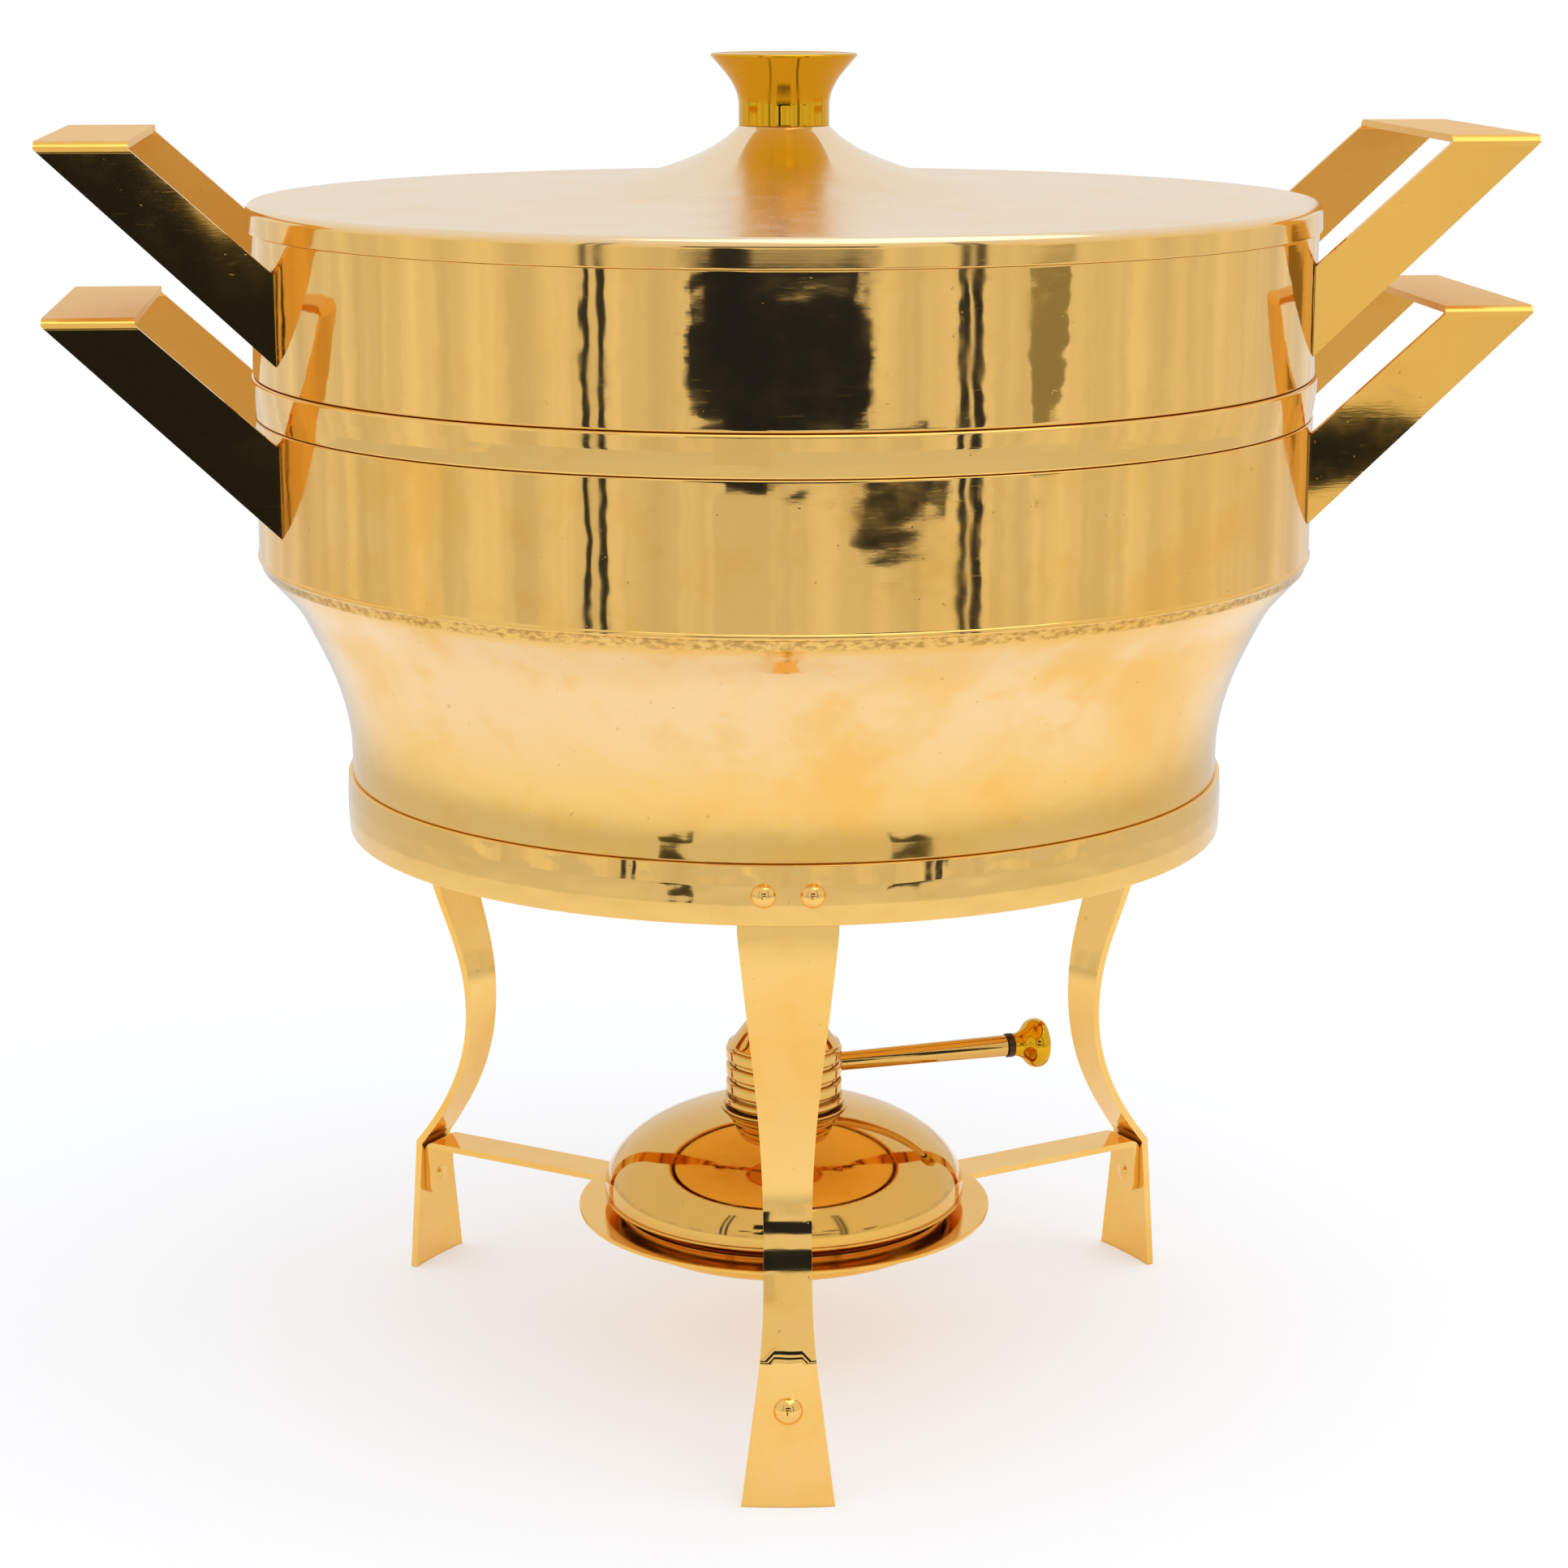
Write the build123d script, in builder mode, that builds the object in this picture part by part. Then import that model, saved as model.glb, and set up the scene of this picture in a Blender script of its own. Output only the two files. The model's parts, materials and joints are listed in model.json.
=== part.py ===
from build123d import *
import os
from math import acos, asin, cos, degrees, radians, sin, sqrt, tan

# A brass chafing dish: lid, food pan, water pan, three-legged stand and spirit burner.
# Millimetres and degrees. Z is up, the table is Z = 0, and the pan handles lie along X.

os.makedirs("parts", exist_ok=True)

# Clearances
fixed_gap = 0.04            # between a rivet, stud or spigot and the hole that it is fixed in
running_gap = 0.08          # between the burner's neck and the sleeve that turns on it
lift_gap = 0.5              # between a lid or pan and the piece that it drops into

# Stand hoop
hoop_inset = 23.6           # how far the hoop stands in from the water pan's wall
hoop_edge_round = 0.3
hoop_thickness = 2.4
hoop_height = 16.4
hoop_top = 179.0

# Legs, bent from tapered strap
leg_names = ("front", "right", "left")
front_leg_angle = -95.0
leg_thickness = 2.2
leg_top_width = 27.0
leg_waist_width = 13.2
leg_knee_width = 15.0
foot_width = 25.6
knee_height = 40.5
waist_height = 88.0
narrowest_height = 70.4     # where the strap's outline is narrowest
waist_inset = 14.1          # how far the waist stands in from the strap's top
knee_outset = 19.6          # how far the knee stands out from the waist
shoulder_drop = 3.0         # straight strap below the hoop before the bend starts

# Rivets
hoop_rivet_spacing = 13.0
hoop_rivet_head_radius = 3.5
hoop_rivet_radius = 1.6
foot_rivet_head_radius = 4.0
foot_rivet_radius = 1.8
foot_rivet_height = 28.0
rivet_dome = 0.66           # head height as a share of head radius

# Spider arms that carry the burner tray
arm_width = 13.0
arm_thickness = 2.0
arm_bend_radius = 2.6
arm_bowl_gap = 1.5
tab_length = 18.0
tab_corner_radius = 4.0

# Burner tray
tray_thickness = 1.2
tray_depth = 7.4            # from the flange's top to the floor's top
tray_flange_reach = 7.8     # how far the flange stands out past the font
tray_corner_radius = 4.0

# Burner font
font_radius = 54.4
font_overhang = 6.0         # how far the font stands out past its foot
font_edge_gap = 3.0         # open gap between the font's underside and the tray's flange
font_dome_height = 26.5
font_edge_height = 1.2
font_wall = 1.0
font_corner_radius = 4.0

# Burner neck, wick and ribbed sleeve
neck_radius = 14.4
neck_wall = 1.4
neck_base_radius = 18.9
neck_base_height = 0.9
neck_step_radius = 16.3
neck_step_height = 0.9
neck_tail = 5.0             # how far the neck reaches down inside the font
sleeve_core_radius = 16.3
rib_radius = 17.5
rib_pitch = 5.05
rib_groove = 1.0
rib_round = 1.1
rib_count = 3
sleeve_foot_radius = 18.2
sleeve_foot_height = 3.2
sleeve_foot_round = 0.9
wick_tube_radius = 10.0
wick_tube_wall = 1.0
wick_tube_flange = 1.2
wick_tube_length = 30.0
wick_rise = 2.0             # wick above the tube's mouth
wick_floor_gap = 1.5

# Regulator arm and its end knob
regulator_angle = 12.0
rod_radius = 2.8
rod_end_radius = 3.3
rod_length = 56.0
rod_socket = 0.9
rod_stud_radius = 1.8
rod_stud_length = 8.0
ferrule_radius = 3.7
ferrule_length = 2.2
end_knob_radius = 7.6
end_knob_length = 11.2
end_knob_neck = 3.5
end_knob_waist = 3.2        # from the ferrule to the start of the flare
end_knob_waist_radius = 4.6
end_knob_edge = 7.6         # from the ferrule to the widest place

# Snuffer cap
cap_gap = 0.3
cap_wall = 0.9
cap_rim_height = 0.8
cap_rim_radius = 16.9
cap_cone_radius = 12.4
cap_cone_height = 5.4
cap_dome_height = 2.2
cap_spigot_height = 0.8
cap_flat_radius = 2.8
cap_knob_foot = 2.2
cap_knob_radius = 3.4
cap_knob_height = 6.0
cap_knob_widest = 4.0       # from the cap's top to the button's widest place
cap_stud_radius = 1.2
cap_stud_length = 2.4

# Water pan
water_pan_radius = 151.5
water_pan_wall = 1.3
water_pan_height = 104.5
water_pan_straight = 39.7   # straight wall from the rim to the moulding
moulding_reach = 0.4
water_pan_band = 3.0        # narrow drawn-in band below the moulding
water_pan_band_taper = 0.8
cove_drop = 13.9
cove_reach = 10.8
flare_foot_inset = 1.3      # how far the flare's foot stands in from the hoop's outside
flare_foot_height = 5.2
pan_seat_depth = 12.0
pan_base_round = 4.0
leg_space = 1.6             # around the pan base, clear of the rivet tails inside the legs

# Food pan
food_pan_proud = 0.1        # how far its wall stands out past the water pan's
food_pan_wall = 1.2
food_pan_rise = 40.5        # upright wall between the lower hoop and the rim
band_height = 11.5          # hoop band around the pan's foot
band_overhang = 0.8
band_taper = 1.1
band_round = 0.9
band_depth = 2.5            # from the band's widest to the wall inside it
well_gap = 4.0              # water space beside the well
pan_step_round = 0.3
well_slope = 3.6            # height over which the wall draws in below the band
well_depth = 39.0           # below the water pan's rim
well_corner_radius = 24.0

# Folded handles
handle_strip = 24.9         # length of the joint on the wall, and width of the grip
handle_thickness = 2.0
handle_half_span = 50.7
handle_standout = 53.7      # how far the grip stands out past the water pan's wall
handle_fold_radius = 3.2
handle_rise_angle = 44.2
water_handle_drop = 3.9     # from the pan's rim to the top of the joint
food_handle_drop = 8.9

# Lid
lid_overhang = 0.9          # how far the skirt stands out past the food pan's wall
lid_wall = 1.2
lid_skirt = 7.8
lid_edge_round = 2.6
lid_crown_height = 20.2
lid_crown_radius = 12.6
lid_flare_radius = 32.0
lid_flare_height = 9.2
lid_plain_radius = 80.0
lid_plain_height = 2.6
locating_depth = 6.0
locating_flange = 4.6

# Lid knob and its screw
knob_band_radius = 12.9
knob_band_height = 6.0
knob_radius = 20.7
knob_flare_height = 13.2
knob_edge_height = 0.8
knob_dish_depth = 1.6
knob_waist_radius = 13.5
knob_waist_rise = 3.2       # from the band's top to where the flare begins
screw_radius = 1.9
screw_head_radius = 4.6
screw_head_height = 3.0
screw_grip = 10.0
washer_radius = 6.5
washer_thickness = 0.8

# Places that follow from the sizes above
hoop_radius = water_pan_radius - hoop_inset
food_pan_radius = water_pan_radius + food_pan_proud
lid_radius = food_pan_radius + lid_overhang
handle_reach = water_pan_radius + handle_standout

hoop_inside = hoop_radius - hoop_thickness
hoop_bottom = hoop_top - hoop_height
leg_top_radius = hoop_inside - leg_thickness / 2
waist_radius = leg_top_radius - waist_inset
knee_radius = waist_radius + knee_outset
foot_inside = knee_radius - leg_thickness / 2
foot_outside = knee_radius + leg_thickness / 2
leg_inside = hoop_inside - leg_thickness
leg_angles = [front_leg_angle + i * 360 / len(leg_names) for i in range(len(leg_names))]

arm_top = knee_height
flange_bottom = arm_top
flange_top = flange_bottom + tray_thickness
tray_floor = flange_top - tray_depth
font_foot_radius = font_radius - font_overhang
tray_bowl_inside = font_foot_radius + lift_gap
tray_bowl_outside = tray_bowl_inside + tray_thickness
tray_flange_radius = font_radius + tray_flange_reach

font_underside = flange_top + font_edge_gap
font_seam = font_underside + font_wall
font_centre = font_seam + font_edge_height
neck_seat = font_centre + font_dome_height * sqrt(1 - (neck_base_radius / font_radius) ** 2)
neck_step = neck_seat + neck_base_height
sleeve_bottom = neck_step + neck_step_height
sleeve_inside = neck_radius + running_gap
sleeve_top = sleeve_bottom + sleeve_foot_height + rib_count * rib_pitch - rib_groove
neck_top = sleeve_top - cap_spigot_height - wick_tube_flange - lift_gap
wick_mouth = neck_top + wick_tube_flange
rod_height = sleeve_bottom + sleeve_foot_height + rib_pitch * (rib_count / 2) - rib_groove / 2
rod_start = sleeve_core_radius - rod_socket
rod_end = rod_start + rod_length

pan_seat = hoop_top
water_rim = pan_seat + water_pan_height
moulding_top = water_rim - water_pan_straight
band_bottom = moulding_top - water_pan_band
band_bottom_radius = water_pan_radius - water_pan_band_taper
cove_bottom = band_bottom - cove_drop
cove_radius = band_bottom_radius - cove_reach
flare_foot_radius = hoop_radius - flare_foot_inset
pan_base_radius = leg_inside - leg_space
water_pan_inside = water_pan_radius - water_pan_wall

band_top = water_rim + band_height
band_radius = food_pan_radius + band_overhang
band_inside = band_radius - band_depth
food_rim = band_top + food_pan_rise
food_pan_inside = food_pan_radius - food_pan_wall
well_radius = water_pan_inside - well_gap
well_bottom = water_rim - well_depth

lid_seam = food_rim
lid_shoulder = lid_seam + lid_skirt
knob_seat = lid_shoulder + lid_crown_height


def radial_plane(angle, height=0.0):
    """Upright plane through the axis: local X points outwards at the angle, local Y is up."""
    a = radians(angle)
    return Plane(origin=(0, 0, height), x_dir=(cos(a), sin(a), 0), z_dir=(sin(a), -cos(a), 0))


def facing_plane(angle, radius=0.0, height=0.0):
    """Upright plane that faces outwards at the angle: local X runs sideways, local Y is up."""
    a = radians(angle)
    return Plane(
        origin=(radius * cos(a), radius * sin(a), height),
        x_dir=(-sin(a), cos(a), 0),
        z_dir=(cos(a), sin(a), 0),
    )


def sweep_half_angle(width, radius):
    """Half angle that a strap of this width covers at this radius, with room to trim."""
    return degrees(asin(width / 2 / radius)) + 1.0


# Stand hoop

def hoop_rivet_planes(radius):
    """Planes at the two rivets over each leg, facing outwards."""
    spread = degrees(asin(hoop_rivet_spacing / 2 / hoop_radius))
    height = hoop_top - hoop_height / 2
    return [facing_plane(a + s, radius, height) for a in leg_angles for s in (-spread, spread)]


with BuildPart() as stand_hoop:
    with BuildSketch(Plane.XY.offset(hoop_bottom)):
        Circle(hoop_radius)
        Circle(hoop_inside, mode=Mode.SUBTRACT)
    extrude(amount=hoop_height)
    fillet(stand_hoop.edges().filter_by(GeomType.CIRCLE), radius=hoop_edge_round)
    with Locations(*hoop_rivet_planes(hoop_radius)):
        Cylinder(hoop_rivet_radius + fixed_gap, 4 * hoop_thickness, mode=Mode.SUBTRACT)
stand_hoop.part.label = "stand_hoop"
export_step(stand_hoop.part, "parts/stand_hoop.step")


# Legs

def leg_centre_line():
    """Side view of a leg: upright inside the hoop, drawn in to a waist, out to the knee, then the foot."""
    top = Line((leg_top_radius, hoop_top), (leg_top_radius, hoop_bottom - shoulder_drop))
    knee = (knee_radius, knee_height)
    bend = Spline(
        top @ 1,
        (waist_radius, waist_height),
        knee,
        tangents=[(0, -1), (0, -1), (0.62, -0.78)],
    )
    Line(bend @ 1, (knee_radius, 0))


def leg_outline():
    """Front view of half a leg, from the foot up to the hoop and back down the middle."""
    foot = Line((foot_width / 2, 0), (leg_knee_width / 2, knee_height + leg_thickness))
    waist = Spline(
        foot @ 1,
        (leg_waist_width / 2, narrowest_height),
        (leg_top_width / 2, hoop_bottom - shoulder_drop),
        tangents=[foot % 1, (0, 1), (0.1, 1)],
    )
    Polyline(waist @ 1, (leg_top_width / 2, hoop_top), (0, hoop_top), (0, 0), foot @ 0)


def strap_leg(angle):
    """One leg, curved across its width to lie against the hoop."""
    half = sweep_half_angle(leg_top_width, waist_radius)
    with BuildPart() as leg:
        with BuildSketch(radial_plane(angle - half)):
            with BuildLine():
                leg_centre_line()
            trace(line_width=leg_thickness)
        revolve(axis=Axis.Z, revolution_arc=2 * half)
        with BuildSketch(facing_plane(angle)):
            with BuildLine():
                leg_outline()
            make_face()
            mirror(about=Plane.YZ)
        extrude(amount=2 * hoop_radius, mode=Mode.INTERSECT)
        with Locations(*hoop_rivet_planes(leg_top_radius)):
            Cylinder(hoop_rivet_radius + fixed_gap, 4 * leg_thickness, mode=Mode.SUBTRACT)
        with Locations(facing_plane(angle, knee_radius, foot_rivet_height)):
            Cylinder(foot_rivet_radius + fixed_gap, 6 * leg_thickness, mode=Mode.SUBTRACT)
    return leg


for leg_name, leg_angle in zip(leg_names, leg_angles):
    leg = strap_leg(leg_angle)
    leg.part.label = f"leg_{leg_name}"
    export_step(leg.part, f"parts/leg_{leg_name}.step")


# Spider arms

def spider_arm(angle):
    """Flat arm from the tray's flange to a leg, its end turned down against the foot."""
    tab_radius = foot_inside - arm_thickness / 2
    middle = arm_top - arm_thickness / 2
    inner_end = tray_bowl_outside + arm_bowl_gap
    half = sweep_half_angle(arm_width, inner_end)
    with BuildPart() as arm:
        with BuildSketch(radial_plane(angle - half)):
            with BuildLine():
                FilletPolyline(
                    (inner_end, middle),
                    (tab_radius, middle),
                    (tab_radius, arm_top - tab_length),
                    radius=arm_bend_radius,
                )
            trace(line_width=arm_thickness)
        revolve(axis=Axis.Z, revolution_arc=2 * half)
        with BuildSketch(facing_plane(angle)) as outline:
            with Locations((0, arm_top - tab_length / 2)):
                Rectangle(arm_width, tab_length)
            fillet(outline.vertices().group_by(Axis.Y)[0], radius=tab_corner_radius)
        extrude(amount=2 * knee_radius, mode=Mode.INTERSECT)
        with Locations(facing_plane(angle, knee_radius, foot_rivet_height)):
            Cylinder(foot_rivet_radius + fixed_gap, 6 * leg_thickness, mode=Mode.SUBTRACT)
    return arm


for leg_name, leg_angle in zip(leg_names, leg_angles):
    arm = spider_arm(leg_angle)
    arm.part.label = f"spider_arm_{leg_name}"
    export_step(arm.part, f"parts/spider_arm_{leg_name}.step")


# Rivets

def side_plane(facing):
    """Upright plane through a rivet's axis: local X runs out along the rivet."""
    return Plane(origin=facing.origin, x_dir=facing.z_dir, z_dir=facing.z_dir.cross(facing.y_dir))


def dome_rivets(facings, head_radius, shank_radius, grip):
    """Round-headed rivets set in the given planes, with a flatter head formed on the inside."""
    head_height = rivet_dome * head_radius
    tail = -grip - fixed_gap
    tail_radius = (head_radius + shank_radius) / 2
    tail_height = head_height / 3
    with BuildPart() as rivets:
        for facing in facings:
            with BuildSketch(side_plane(facing)):
                with BuildLine():
                    head = SagittaArc((0, -head_radius), (0, head_radius), -head_height)
                    tail_dome = SagittaArc((tail, tail_radius), (tail, -tail_radius), -tail_height)
                    Polyline(head @ 1, (0, shank_radius), (tail, shank_radius), tail_dome @ 0)
                    Polyline(head @ 0, (0, -shank_radius), (tail, -shank_radius), tail_dome @ 1)
                make_face()
                split(bisect_by=Plane.XZ)
            revolve(axis=Axis(facing.origin, facing.z_dir))
    return rivets


hoop_rivets = dome_rivets(
    hoop_rivet_planes(hoop_radius),
    hoop_rivet_head_radius,
    hoop_rivet_radius,
    hoop_thickness + leg_thickness,
)
hoop_rivets.part.label = "hoop_rivets"
export_step(hoop_rivets.part, "parts/hoop_rivets.step")

foot_rivets = dome_rivets(
    [facing_plane(a, foot_outside, foot_rivet_height) for a in leg_angles],
    foot_rivet_head_radius,
    foot_rivet_radius,
    leg_thickness + arm_thickness,
)
foot_rivets.part.label = "foot_rivets"
export_step(foot_rivets.part, "parts/foot_rivets.step")


# Burner tray

with BuildPart() as burner_tray:
    with BuildSketch(Plane.XZ):
        with BuildLine():
            FilletPolyline(
                (tray_flange_radius, flange_bottom),
                (tray_bowl_outside, flange_bottom),
                (tray_bowl_outside, tray_floor - tray_thickness),
                (0, tray_floor - tray_thickness),
                radius=[tray_thickness, tray_corner_radius],
            )
            offset(amount=tray_thickness, side=Side.RIGHT)
        make_face()
    revolve(axis=Axis.Z)
burner_tray.part.label = "burner_tray"
export_step(burner_tray.part, "parts/burner_tray.step")


# Burner font

with BuildPart() as font_lower:
    with BuildSketch(Plane.XZ):
        with BuildLine():
            FilletPolyline(
                (font_radius, font_underside),
                (font_foot_radius, font_underside),
                (font_foot_radius, tray_floor),
                (0, tray_floor),
                radius=[font_wall, font_corner_radius],
            )
            offset(amount=font_wall, side=Side.RIGHT)
        make_face()
    revolve(axis=Axis.Z)
font_lower.part.label = "font_lower"
export_step(font_lower.part, "parts/font_lower.step")

font_middle_radius = font_radius - font_wall / 2
with BuildPart() as font_upper:
    with BuildSketch(Plane.XZ):
        with BuildLine():
            Line((font_middle_radius, font_seam), (font_middle_radius, font_centre))
            dome = EllipticalCenterArc(
                (0, font_centre),
                font_middle_radius,
                font_dome_height - font_wall / 2,
                start_angle=0,
                arc_size=degrees(acos(neck_base_radius / font_radius)),
            )
            Line(dome @ 1, (neck_radius + fixed_gap, (dome @ 1).Y))
        trace(line_width=font_wall)
    revolve(axis=Axis.Z)
    with BuildSketch(Plane.XY.offset(neck_seat)):
        Circle(neck_base_radius)
    extrude(amount=font_wall, mode=Mode.SUBTRACT)
font_upper.part.label = "font_upper"
export_step(font_upper.part, "parts/font_upper.step")


# Burner neck, wick tube and wick

with BuildPart() as burner_neck:
    with BuildSketch(Plane.XZ):
        with BuildLine():
            Polyline(
                (neck_radius - neck_wall, neck_seat - font_wall - neck_tail),
                (neck_radius, neck_seat - font_wall - neck_tail),
                (neck_radius, neck_seat),
                (neck_base_radius, neck_seat),
                (neck_base_radius, neck_step),
                (neck_step_radius, neck_step),
                (neck_step_radius, sleeve_bottom),
                (neck_radius, sleeve_bottom),
                (neck_radius, neck_top),
                (neck_radius - neck_wall, neck_top),
                close=True,
            )
        make_face()
    revolve(axis=Axis.Z)
burner_neck.part.label = "burner_neck"
export_step(burner_neck.part, "parts/burner_neck.step")

with BuildPart() as wick_tube:
    with BuildSketch(Plane.XY.offset(neck_top)):
        Circle(neck_radius)
    extrude(amount=wick_tube_flange)
    with BuildSketch(Plane.XY.offset(wick_mouth - wick_tube_length)):
        Circle(wick_tube_radius)
    extrude(amount=wick_tube_length)
    with BuildSketch(Plane.XY.offset(wick_mouth - wick_tube_length)):
        Circle(wick_tube_radius - wick_tube_wall)
    extrude(amount=wick_tube_length, mode=Mode.SUBTRACT)
wick_tube.part.label = "wick_tube"
export_step(wick_tube.part, "parts/wick_tube.step")

wick_bottom = tray_floor + font_wall + wick_floor_gap
wick_radius = wick_tube_radius - wick_tube_wall - fixed_gap
with BuildPart() as wick:
    with BuildSketch(Plane.XY.offset(wick_bottom)):
        Circle(wick_radius)
    extrude(amount=wick_mouth + wick_rise - wick_bottom)
    fillet(wick.edges().sort_by(Axis.Z)[-1], radius=wick_rise)
wick.part.label = "wick"
export_step(wick.part, "parts/wick.step")


# Ribbed sleeve that turns on the neck

sleeve_height = sleeve_top - sleeve_bottom
rib_height = rib_pitch - rib_groove
first_rib = sleeve_bottom + sleeve_foot_height + rib_height / 2
rib_middle_radius = (sleeve_inside + rib_radius) / 2
rod_plane = radial_plane(regulator_angle, rod_height)
rod_axis = Axis(rod_plane.origin, rod_plane.x_dir)

with BuildPart() as regulator_sleeve:
    with BuildSketch(Plane.XZ):
        with Locations(((sleeve_inside + sleeve_core_radius) / 2, sleeve_bottom + sleeve_height / 2)):
            Rectangle(sleeve_core_radius - sleeve_inside, sleeve_height)
        with BuildSketch(Plane.XZ, mode=Mode.PRIVATE) as rib:
            Rectangle(rib_radius - sleeve_inside, rib_height)
            fillet(rib.vertices().group_by(Axis.X)[-1], radius=rib_round)
        with Locations(*[(rib_middle_radius, first_rib + i * rib_pitch) for i in range(rib_count)]):
            add(rib.sketch_local)
    revolve(axis=Axis.Z)
    with BuildSketch(Plane.XY.offset(sleeve_bottom)):
        Circle(sleeve_foot_radius)
        Circle(sleeve_inside, mode=Mode.SUBTRACT)
    extrude(amount=sleeve_foot_height - rib_groove)
    foot_edges = regulator_sleeve.edges().filter_by(GeomType.CIRCLE).group_by(SortBy.RADIUS)[-1]
    fillet(foot_edges, radius=sleeve_foot_round)
    with BuildSketch(facing_plane(regulator_angle, rod_start, rod_height)):
        Circle(rod_radius + fixed_gap)
    extrude(amount=sleeve_foot_radius, mode=Mode.SUBTRACT)
regulator_sleeve.part.label = "regulator_sleeve"
export_step(regulator_sleeve.part, "parts/regulator_sleeve.step")


# Regulator arm, ferrule and end knob

ferrule_end = rod_end + ferrule_length
with BuildPart() as regulator_rod:
    with BuildSketch(rod_plane):
        with BuildLine():
            Polyline(
                (rod_start, 0),
                (rod_start, rod_radius),
                (rod_end, rod_end_radius),
                (rod_end, rod_stud_radius),
                (ferrule_end + rod_stud_length, rod_stud_radius),
                (ferrule_end + rod_stud_length, 0),
                close=True,
            )
        make_face()
    revolve(axis=rod_axis)
regulator_rod.part.label = "regulator_rod"
export_step(regulator_rod.part, "parts/regulator_rod.step")

stud_bore = rod_stud_radius + fixed_gap
with BuildPart() as rod_ferrule:
    with BuildSketch(rod_plane) as ferrule_section:
        with Locations((rod_end + ferrule_length / 2, (stud_bore + ferrule_radius) / 2)):
            Rectangle(ferrule_length, ferrule_radius - stud_bore)
    revolve(axis=rod_axis)
rod_ferrule.part.label = "rod_ferrule"
export_step(rod_ferrule.part, "parts/rod_ferrule.step")

with BuildPart() as rod_knob:
    with BuildSketch(rod_plane):
        with BuildLine():
            flare = Spline(
                (ferrule_end, end_knob_neck),
                (ferrule_end + end_knob_waist, end_knob_waist_radius),
                (ferrule_end + end_knob_edge, end_knob_radius),
                tangents=[(1, 0), (1, 0)],
            )
            face = Spline(
                flare @ 1,
                (ferrule_end + end_knob_length, 0),
                tangents=[flare % 1, (0, -1)],
            )
            Polyline(
                face @ 1,
                (ferrule_end + rod_stud_length + fixed_gap, 0),
                (ferrule_end + rod_stud_length + fixed_gap, stud_bore),
                (ferrule_end, stud_bore),
                flare @ 0,
            )
        make_face()
    revolve(axis=rod_axis)
rod_knob.part.label = "rod_knob"
export_step(rod_knob.part, "parts/rod_knob.step")


# Snuffer cap and its button

cap_shoulder = sleeve_top + cap_rim_height
cap_cone_top = cap_shoulder + cap_cone_height
cap_top = cap_cone_top + cap_dome_height
cap_spigot_radius = sleeve_inside - cap_gap
with BuildPart() as snuffer_cap:
    with BuildSketch(Plane.XZ):
        with BuildLine():
            cone = Line(
                (cap_rim_radius - cap_wall, cap_shoulder - cap_wall / 2),
                (cap_cone_radius - cap_wall / 2, cap_cone_top - cap_wall / 2),
            )
            dome = Spline(
                cone @ 1,
                (cap_flat_radius, cap_top - cap_wall / 2),
                tangents=[(-1, 0.6), (-1, 0)],
            )
            Line(dome @ 1, (0, cap_top - cap_wall / 2))
        trace(line_width=cap_wall)
    revolve(axis=Axis.Z)
    with BuildSketch(Plane.XY.offset(sleeve_top)):
        Circle(cap_rim_radius)
    extrude(amount=cap_rim_height)
    with BuildSketch(Plane.XY.offset(sleeve_top - cap_spigot_height)):
        Circle(cap_spigot_radius)
    extrude(amount=cap_spigot_height)
    with BuildSketch(Plane.XY.offset(sleeve_top - cap_spigot_height)):
        Circle(cap_spigot_radius - cap_wall)
    extrude(amount=cap_spigot_height + cap_rim_height, mode=Mode.SUBTRACT)
    with BuildSketch(Plane.XY.offset(cap_top)):
        Circle(cap_stud_radius + fixed_gap)
    extrude(amount=-2 * cap_wall, mode=Mode.SUBTRACT)
snuffer_cap.part.label = "snuffer_cap"
export_step(snuffer_cap.part, "parts/snuffer_cap.step")

with BuildPart() as snuffer_button:
    with BuildSketch(Plane.XZ):
        with BuildLine():
            base = Line((0, cap_top - cap_stud_length), (cap_stud_radius, cap_top - cap_stud_length))
            stem = Polyline(base @ 1, (cap_stud_radius, cap_top), (cap_knob_foot, cap_top))
            waist = Spline(
                stem @ 1,
                (cap_knob_radius, cap_top + cap_knob_widest),
                tangents=[(-0.5, 1), (0.4, 1)],
            )
            crown = Spline(waist @ 1, (0, cap_top + cap_knob_height), tangents=[waist % 1, (-1, 0)])
            Line(crown @ 1, base @ 0)
        make_face()
    revolve(axis=Axis.Z)
snuffer_button.part.label = "snuffer_button"
export_step(snuffer_button.part, "parts/snuffer_button.step")


# Water pan

flare_bottom = pan_seat + flare_foot_height
half_wall = water_pan_wall / 2
with BuildPart() as water_pan:
    with BuildSketch(Plane.XZ):
        with BuildLine():
            wall = Polyline(
                (water_pan_radius - half_wall, water_rim),
                (water_pan_radius - half_wall, moulding_top),
                (band_bottom_radius - half_wall, band_bottom),
            )
            flare = Spline(
                wall @ 1,
                (cove_radius - half_wall, cove_bottom + half_wall),
                (flare_foot_radius - half_wall, flare_bottom),
                tangents=[(-0.64, -0.77), (-0.46, -0.89), (0, -1)],
            )
            shoulder = Polyline(
                flare @ 1,
                (flare_foot_radius - half_wall, pan_seat + half_wall),
                (pan_base_radius - half_wall, pan_seat + half_wall),
            )
            FilletPolyline(
                shoulder @ 1,
                (pan_base_radius - half_wall, pan_seat - pan_seat_depth + half_wall),
                (0, pan_seat - pan_seat_depth + half_wall),
                radius=pan_base_round,
            )
        trace(line_width=water_pan_wall)
    revolve(axis=Axis.Z)
    with Locations((0, 0, moulding_top)):
        Torus(water_pan_radius - half_wall, half_wall + moulding_reach)
    fillet(water_pan.edges().filter_by(GeomType.CIRCLE).group_by(Axis.Z)[-1], radius=water_pan_wall / 3)
water_pan.part.label = "water_pan_shell"
export_step(water_pan.part, "parts/water_pan_shell.step")


# Food pan and the band around its foot

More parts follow.
